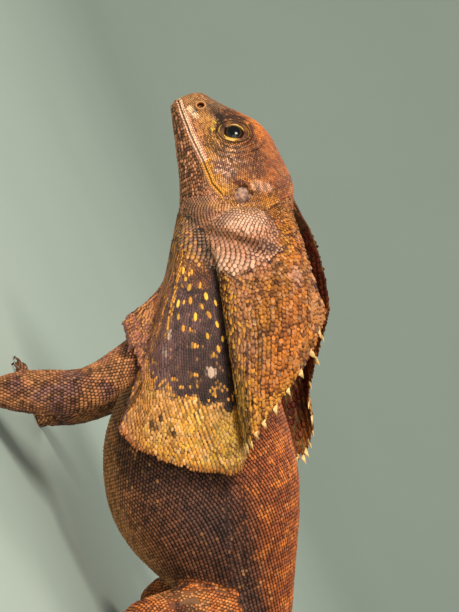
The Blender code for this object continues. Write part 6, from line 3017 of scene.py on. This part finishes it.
    def build(self, outer: dict) -> None:
        """Both halves with their scales and spines.

        Args:
            outer: The outer sites of each side.
        """
        finish = HornFinish("frill_scales", gap=0.8, roughness=(0.5, 0.7), gloss=0.2).material()
        soft = HornFinish("bib_scales", gap=0.5, roughness=(0.5, 0.68), gloss=0.26).material()
        bare = SkinFinish("frill_skin").material()
        colours = (0.66, 0.36, 0.10), (0.90, 0.62, 0.24)
        horn = PlainFinish("spine_horn", *colours, roughness=0.4, grain=500.0, bump=0.15).material()
        for side in Side:
            sheet, sites = self.sheet(side), outer[side]
            inner = self.sites(side, False, 0.3)
            # the sheet takes the scales' colours at half brightness: painted shade in the gaps between them
            paint_skin(sheet, self.place, Sites.joined([sites, inner]), 0.5)
            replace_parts(dress(sheet, bare), f"frill_{side.label}")
            a, share = sites.patch[:, 0] * self.folds.last, sites.patch[:, 1]
            lobe, band, _ = self._parts(a, share, 0 * a)
            for name, part, form, look in (
                ("scales_lobe", sites.chosen(lobe > 0.5), Forms.FLAKE, finish),
                ("scales_band", sites.chosen(band > 0.5), Forms.PLATE, soft),
                ("scales_bib", sites.chosen((lobe <= 0.5) & (band <= 0.5)), Forms.PLATE, soft),
                ("scales_inner", inner, Forms.SMALL, finish),
                ("edge", self.edge_sites(side), Forms.KEELED, finish),
            ):
                self.maker.build(f"frill_{name}_{side.label}", part, form, look, Slot.FRILL)
            dress(self.spines(side), horn)


@dataclass(frozen=True)
class Claws:
    """The claws, each a slim hook that ends just above the floor."""

    place: Place
    limbs: tuple
    root: float = 0.6
    thick: float = 0.62
    flat: float = 0.75
    arch: float = 3.0
    lowest: float = 0.1

    def build(self) -> bpy.types.Object:
        """All claws as one piece.

        Returns:
            The claws.
        """
        shape = bmesh.new()
        for limb in self.limbs:
            for side in Side:
                for ray in limb.rays(side):
                    self._claw(shape, ray)
        bmesh.ops.recalc_face_normals(shape, faces=shape.faces)
        claws = from_bmesh(shape, "claws")
        colours = (0.045, 0.030, 0.022), (0.16, 0.10, 0.06)
        finish = PlainFinish("claw_horn", *colours, roughness=0.28, grain=420.0, bump=0.1)
        return dress(claws, finish.material())

    def _claw(self, shape: bmesh.types.BMesh, ray: Ray) -> None:
        """Adds one claw.

        Args:
            shape: What it is added to.
            ray: The digit.
        """
        up = np.array((0.0, 0.0, 1.0))
        across = np.cross(ray.aim, up)
        turn = circle(12)[:, None]
        rings = []
        for reach in np.linspace(0.0, 1.0, 9):
            thick = ray.thick * self.thick * (1 - reach) ** 0.75 + 0.05
            middle = ray.root + ray.aim * (ray.length - self.root + (ray.claw + self.root) * reach)
            middle[2] = ray.pad + 0.35 + self.arch * reach * (1 - reach) - reach * reach * ray.pad
            ring = middle + np.cos(turn) * across * thick * self.flat + np.sin(turn) * up * thick
            ring[:, 2] = np.maximum(ring[:, 2], self.lowest)
            rings.append(ring)
        roll(shape, self.place.world(np.array(rings)))


@dataclass(frozen=True)
class Studio:
    """Floor, backdrop, lights and the camera, which turns with the animal as the photograph shows it."""

    place: Place
    target: tuple = (-7.0, 108.8, 0.0)
    distance: float = 1.0
    elevation: float = math.radians(5)
    roll: float = math.radians(66)
    view_height: float = 0.269
    sensor: float = 24.0
    wide: float = 2.4
    front: float = 1.6
    flat_length: float = 2.75
    whole_length: float = 3.8
    sweep_radius: float = 0.5
    wall: tuple = (0.82, 0.88, 0.86, 1)
    wall_light: float = 0.4
    lamps: tuple = (
        ("key", (0.92, -0.55, 0.9), 0.42, 20.0, (1.0, 0.95, 0.87)),
        ("fill", (1.2, -0.1, 0.35), 0.8, 5.0, (1.0, 0.96, 0.92)),
        ("rim", (-0.7, 0.1, 1.2), 0.5, 7.0, (1.0, 0.93, 0.84)),
    )

    def _set_up(
        self, data: bpy.types.ID, name: str, target: Vector, back: Vector, roll: float = 0.0
    ) -> bpy.types.Object:
        """A camera or light that looks at a target.

        Args:
            data: The camera or light.
            name: The object's name.
            target: What it looks at.
            back: Where it stands from there.
            roll: How far it is turned about its line of sight.

        Returns:
            The object.
        """
        made = new_object(data, name)
        made.location = target + back
        made.rotation_mode = "QUATERNION"
        made.rotation_quaternion = back.to_track_quat("Z", "Y") @ Quaternion((0, 0, 1), roll)
        return made

    def camera(self) -> bpy.types.Object:
        """The camera at the photograph's angle.

        Returns:
            The camera.
        """
        target = Vector(self.place.world(body(*self.target)))
        back = Vector((math.cos(self.elevation), 0.0, math.sin(self.elevation))) * self.distance
        lens = bpy.data.cameras.new("camera")
        lens.sensor_fit = "VERTICAL"
        lens.sensor_height = self.sensor
        lens.lens = self.sensor * self.distance / self.view_height
        lens.clip_start = 0.01
        made = self._set_up(lens, "camera", target, back, self.roll)
        bpy.context.scene.camera = made
        return made

    def floor(self) -> bpy.types.Object:
        """A floor that sweeps up into a backdrop behind the animal.

        Returns:
            The floor.
        """
        shape = bmesh.new()
        bmesh.ops.create_grid(shape, x_segments=40, y_segments=4, size=1.0)
        radius = self.sweep_radius
        for vert in shape.verts:
            run = (1 - vert.co.x) / 2 * self.whole_length
            past = max(0.0, run - self.flat_length)
            turn = min(math.pi / 2, past / radius)
            x = self.front - min(run, self.flat_length) - math.sin(turn) * radius
            z = (1 - math.cos(turn)) * radius + max(0.0, past - radius * math.pi / 2)
            vert.co = Vector((x, vert.co.y * self.wide, z))
        bmesh.ops.recalc_face_normals(shape, faces=shape.faces)
        floor = from_bmesh(shape, "floor")
        floor.data.materials.append(StageFinish().material())
        floor.data.shade_smooth()
        return floor

    def lamp(self, name: str, offset: tuple, size: float, power: float, colour: tuple) -> bpy.types.Object:
        """A soft square light that faces the animal.

        Args:
            name: Its name.
            offset: Where it stands from the animal, in metres.
            size: The length of its sides, in metres.
            power: Its power, in watts.
            colour: The colour of its light.

        Returns:
            The light.
        """
        light = bpy.data.lights.new(name, "AREA")
        light.shape = "SQUARE"
        light.size = size
        light.energy = power
        light.color = colour
        target = Vector(self.place.world(body(-20.0, 90.0, 0.0)))
        return self._set_up(light, name, target, Vector(offset))

    def build(self) -> None:
        """The whole stage."""
        self.camera()
        self.floor()
        for lamp in self.lamps:
            self.lamp(*lamp)
        bpy.context.scene.view_settings.view_transform = "Standard"
        world = bpy.data.worlds.new("room")
        bpy.context.scene.world = world
        world.use_nodes = True
        inputs = world.node_tree.nodes["Background"].inputs
        inputs["Color"].default_value, inputs["Strength"].default_value = self.wall, self.wall_light


def main() -> None:
    """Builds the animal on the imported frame."""
    logging.basicConfig(level=logging.INFO, format="%(name)s %(relativeCreated)d %(message)s")
    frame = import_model()
    bodies = frame["record"]["behaviour"].get("bodies", {"root": frame["nodes"]})
    nodes = sorted(name for names in bodies.values() for name in names)
    trunk, face, tail, folds, tones = Trunk(), Face(), Tail(), Folds(), Tones()
    place = Place.from_frame(trunk.snout)
    maker = ScaleMaker(place)
    Studio(place).build()
    forms = SkinBody(place, trunk, face, tail, folds, (FORE, HIND), nodes)
    skin = forms.build()
    surface, spacing = Surface(skin.data, place), Spacing(SCALE_ROOM)
    frill = Frill(place, trunk, folds, maker, tones)
    coat = Coat(forms, surface, maker, spacing)
    jowl = coat.jowl_sites()
    outer = frill.outer_sites(surface, forms.hide, spacing)
    LOG.info("frill laid out")
    groups = coat.build(jowl, Sites.joined(list(outer.values())))
    # the skin takes the scales' colours at half brightness: painted shade in the gaps between them
    paint_skin(skin, place, Sites.joined([*groups, *outer.values()]), 0.5)
    Eyes(place, trunk, face, maker, tones).build()
    frill.build(outer)
    Claws(place, (FORE, HIND)).build()


if __name__ == "__main__":
    main()
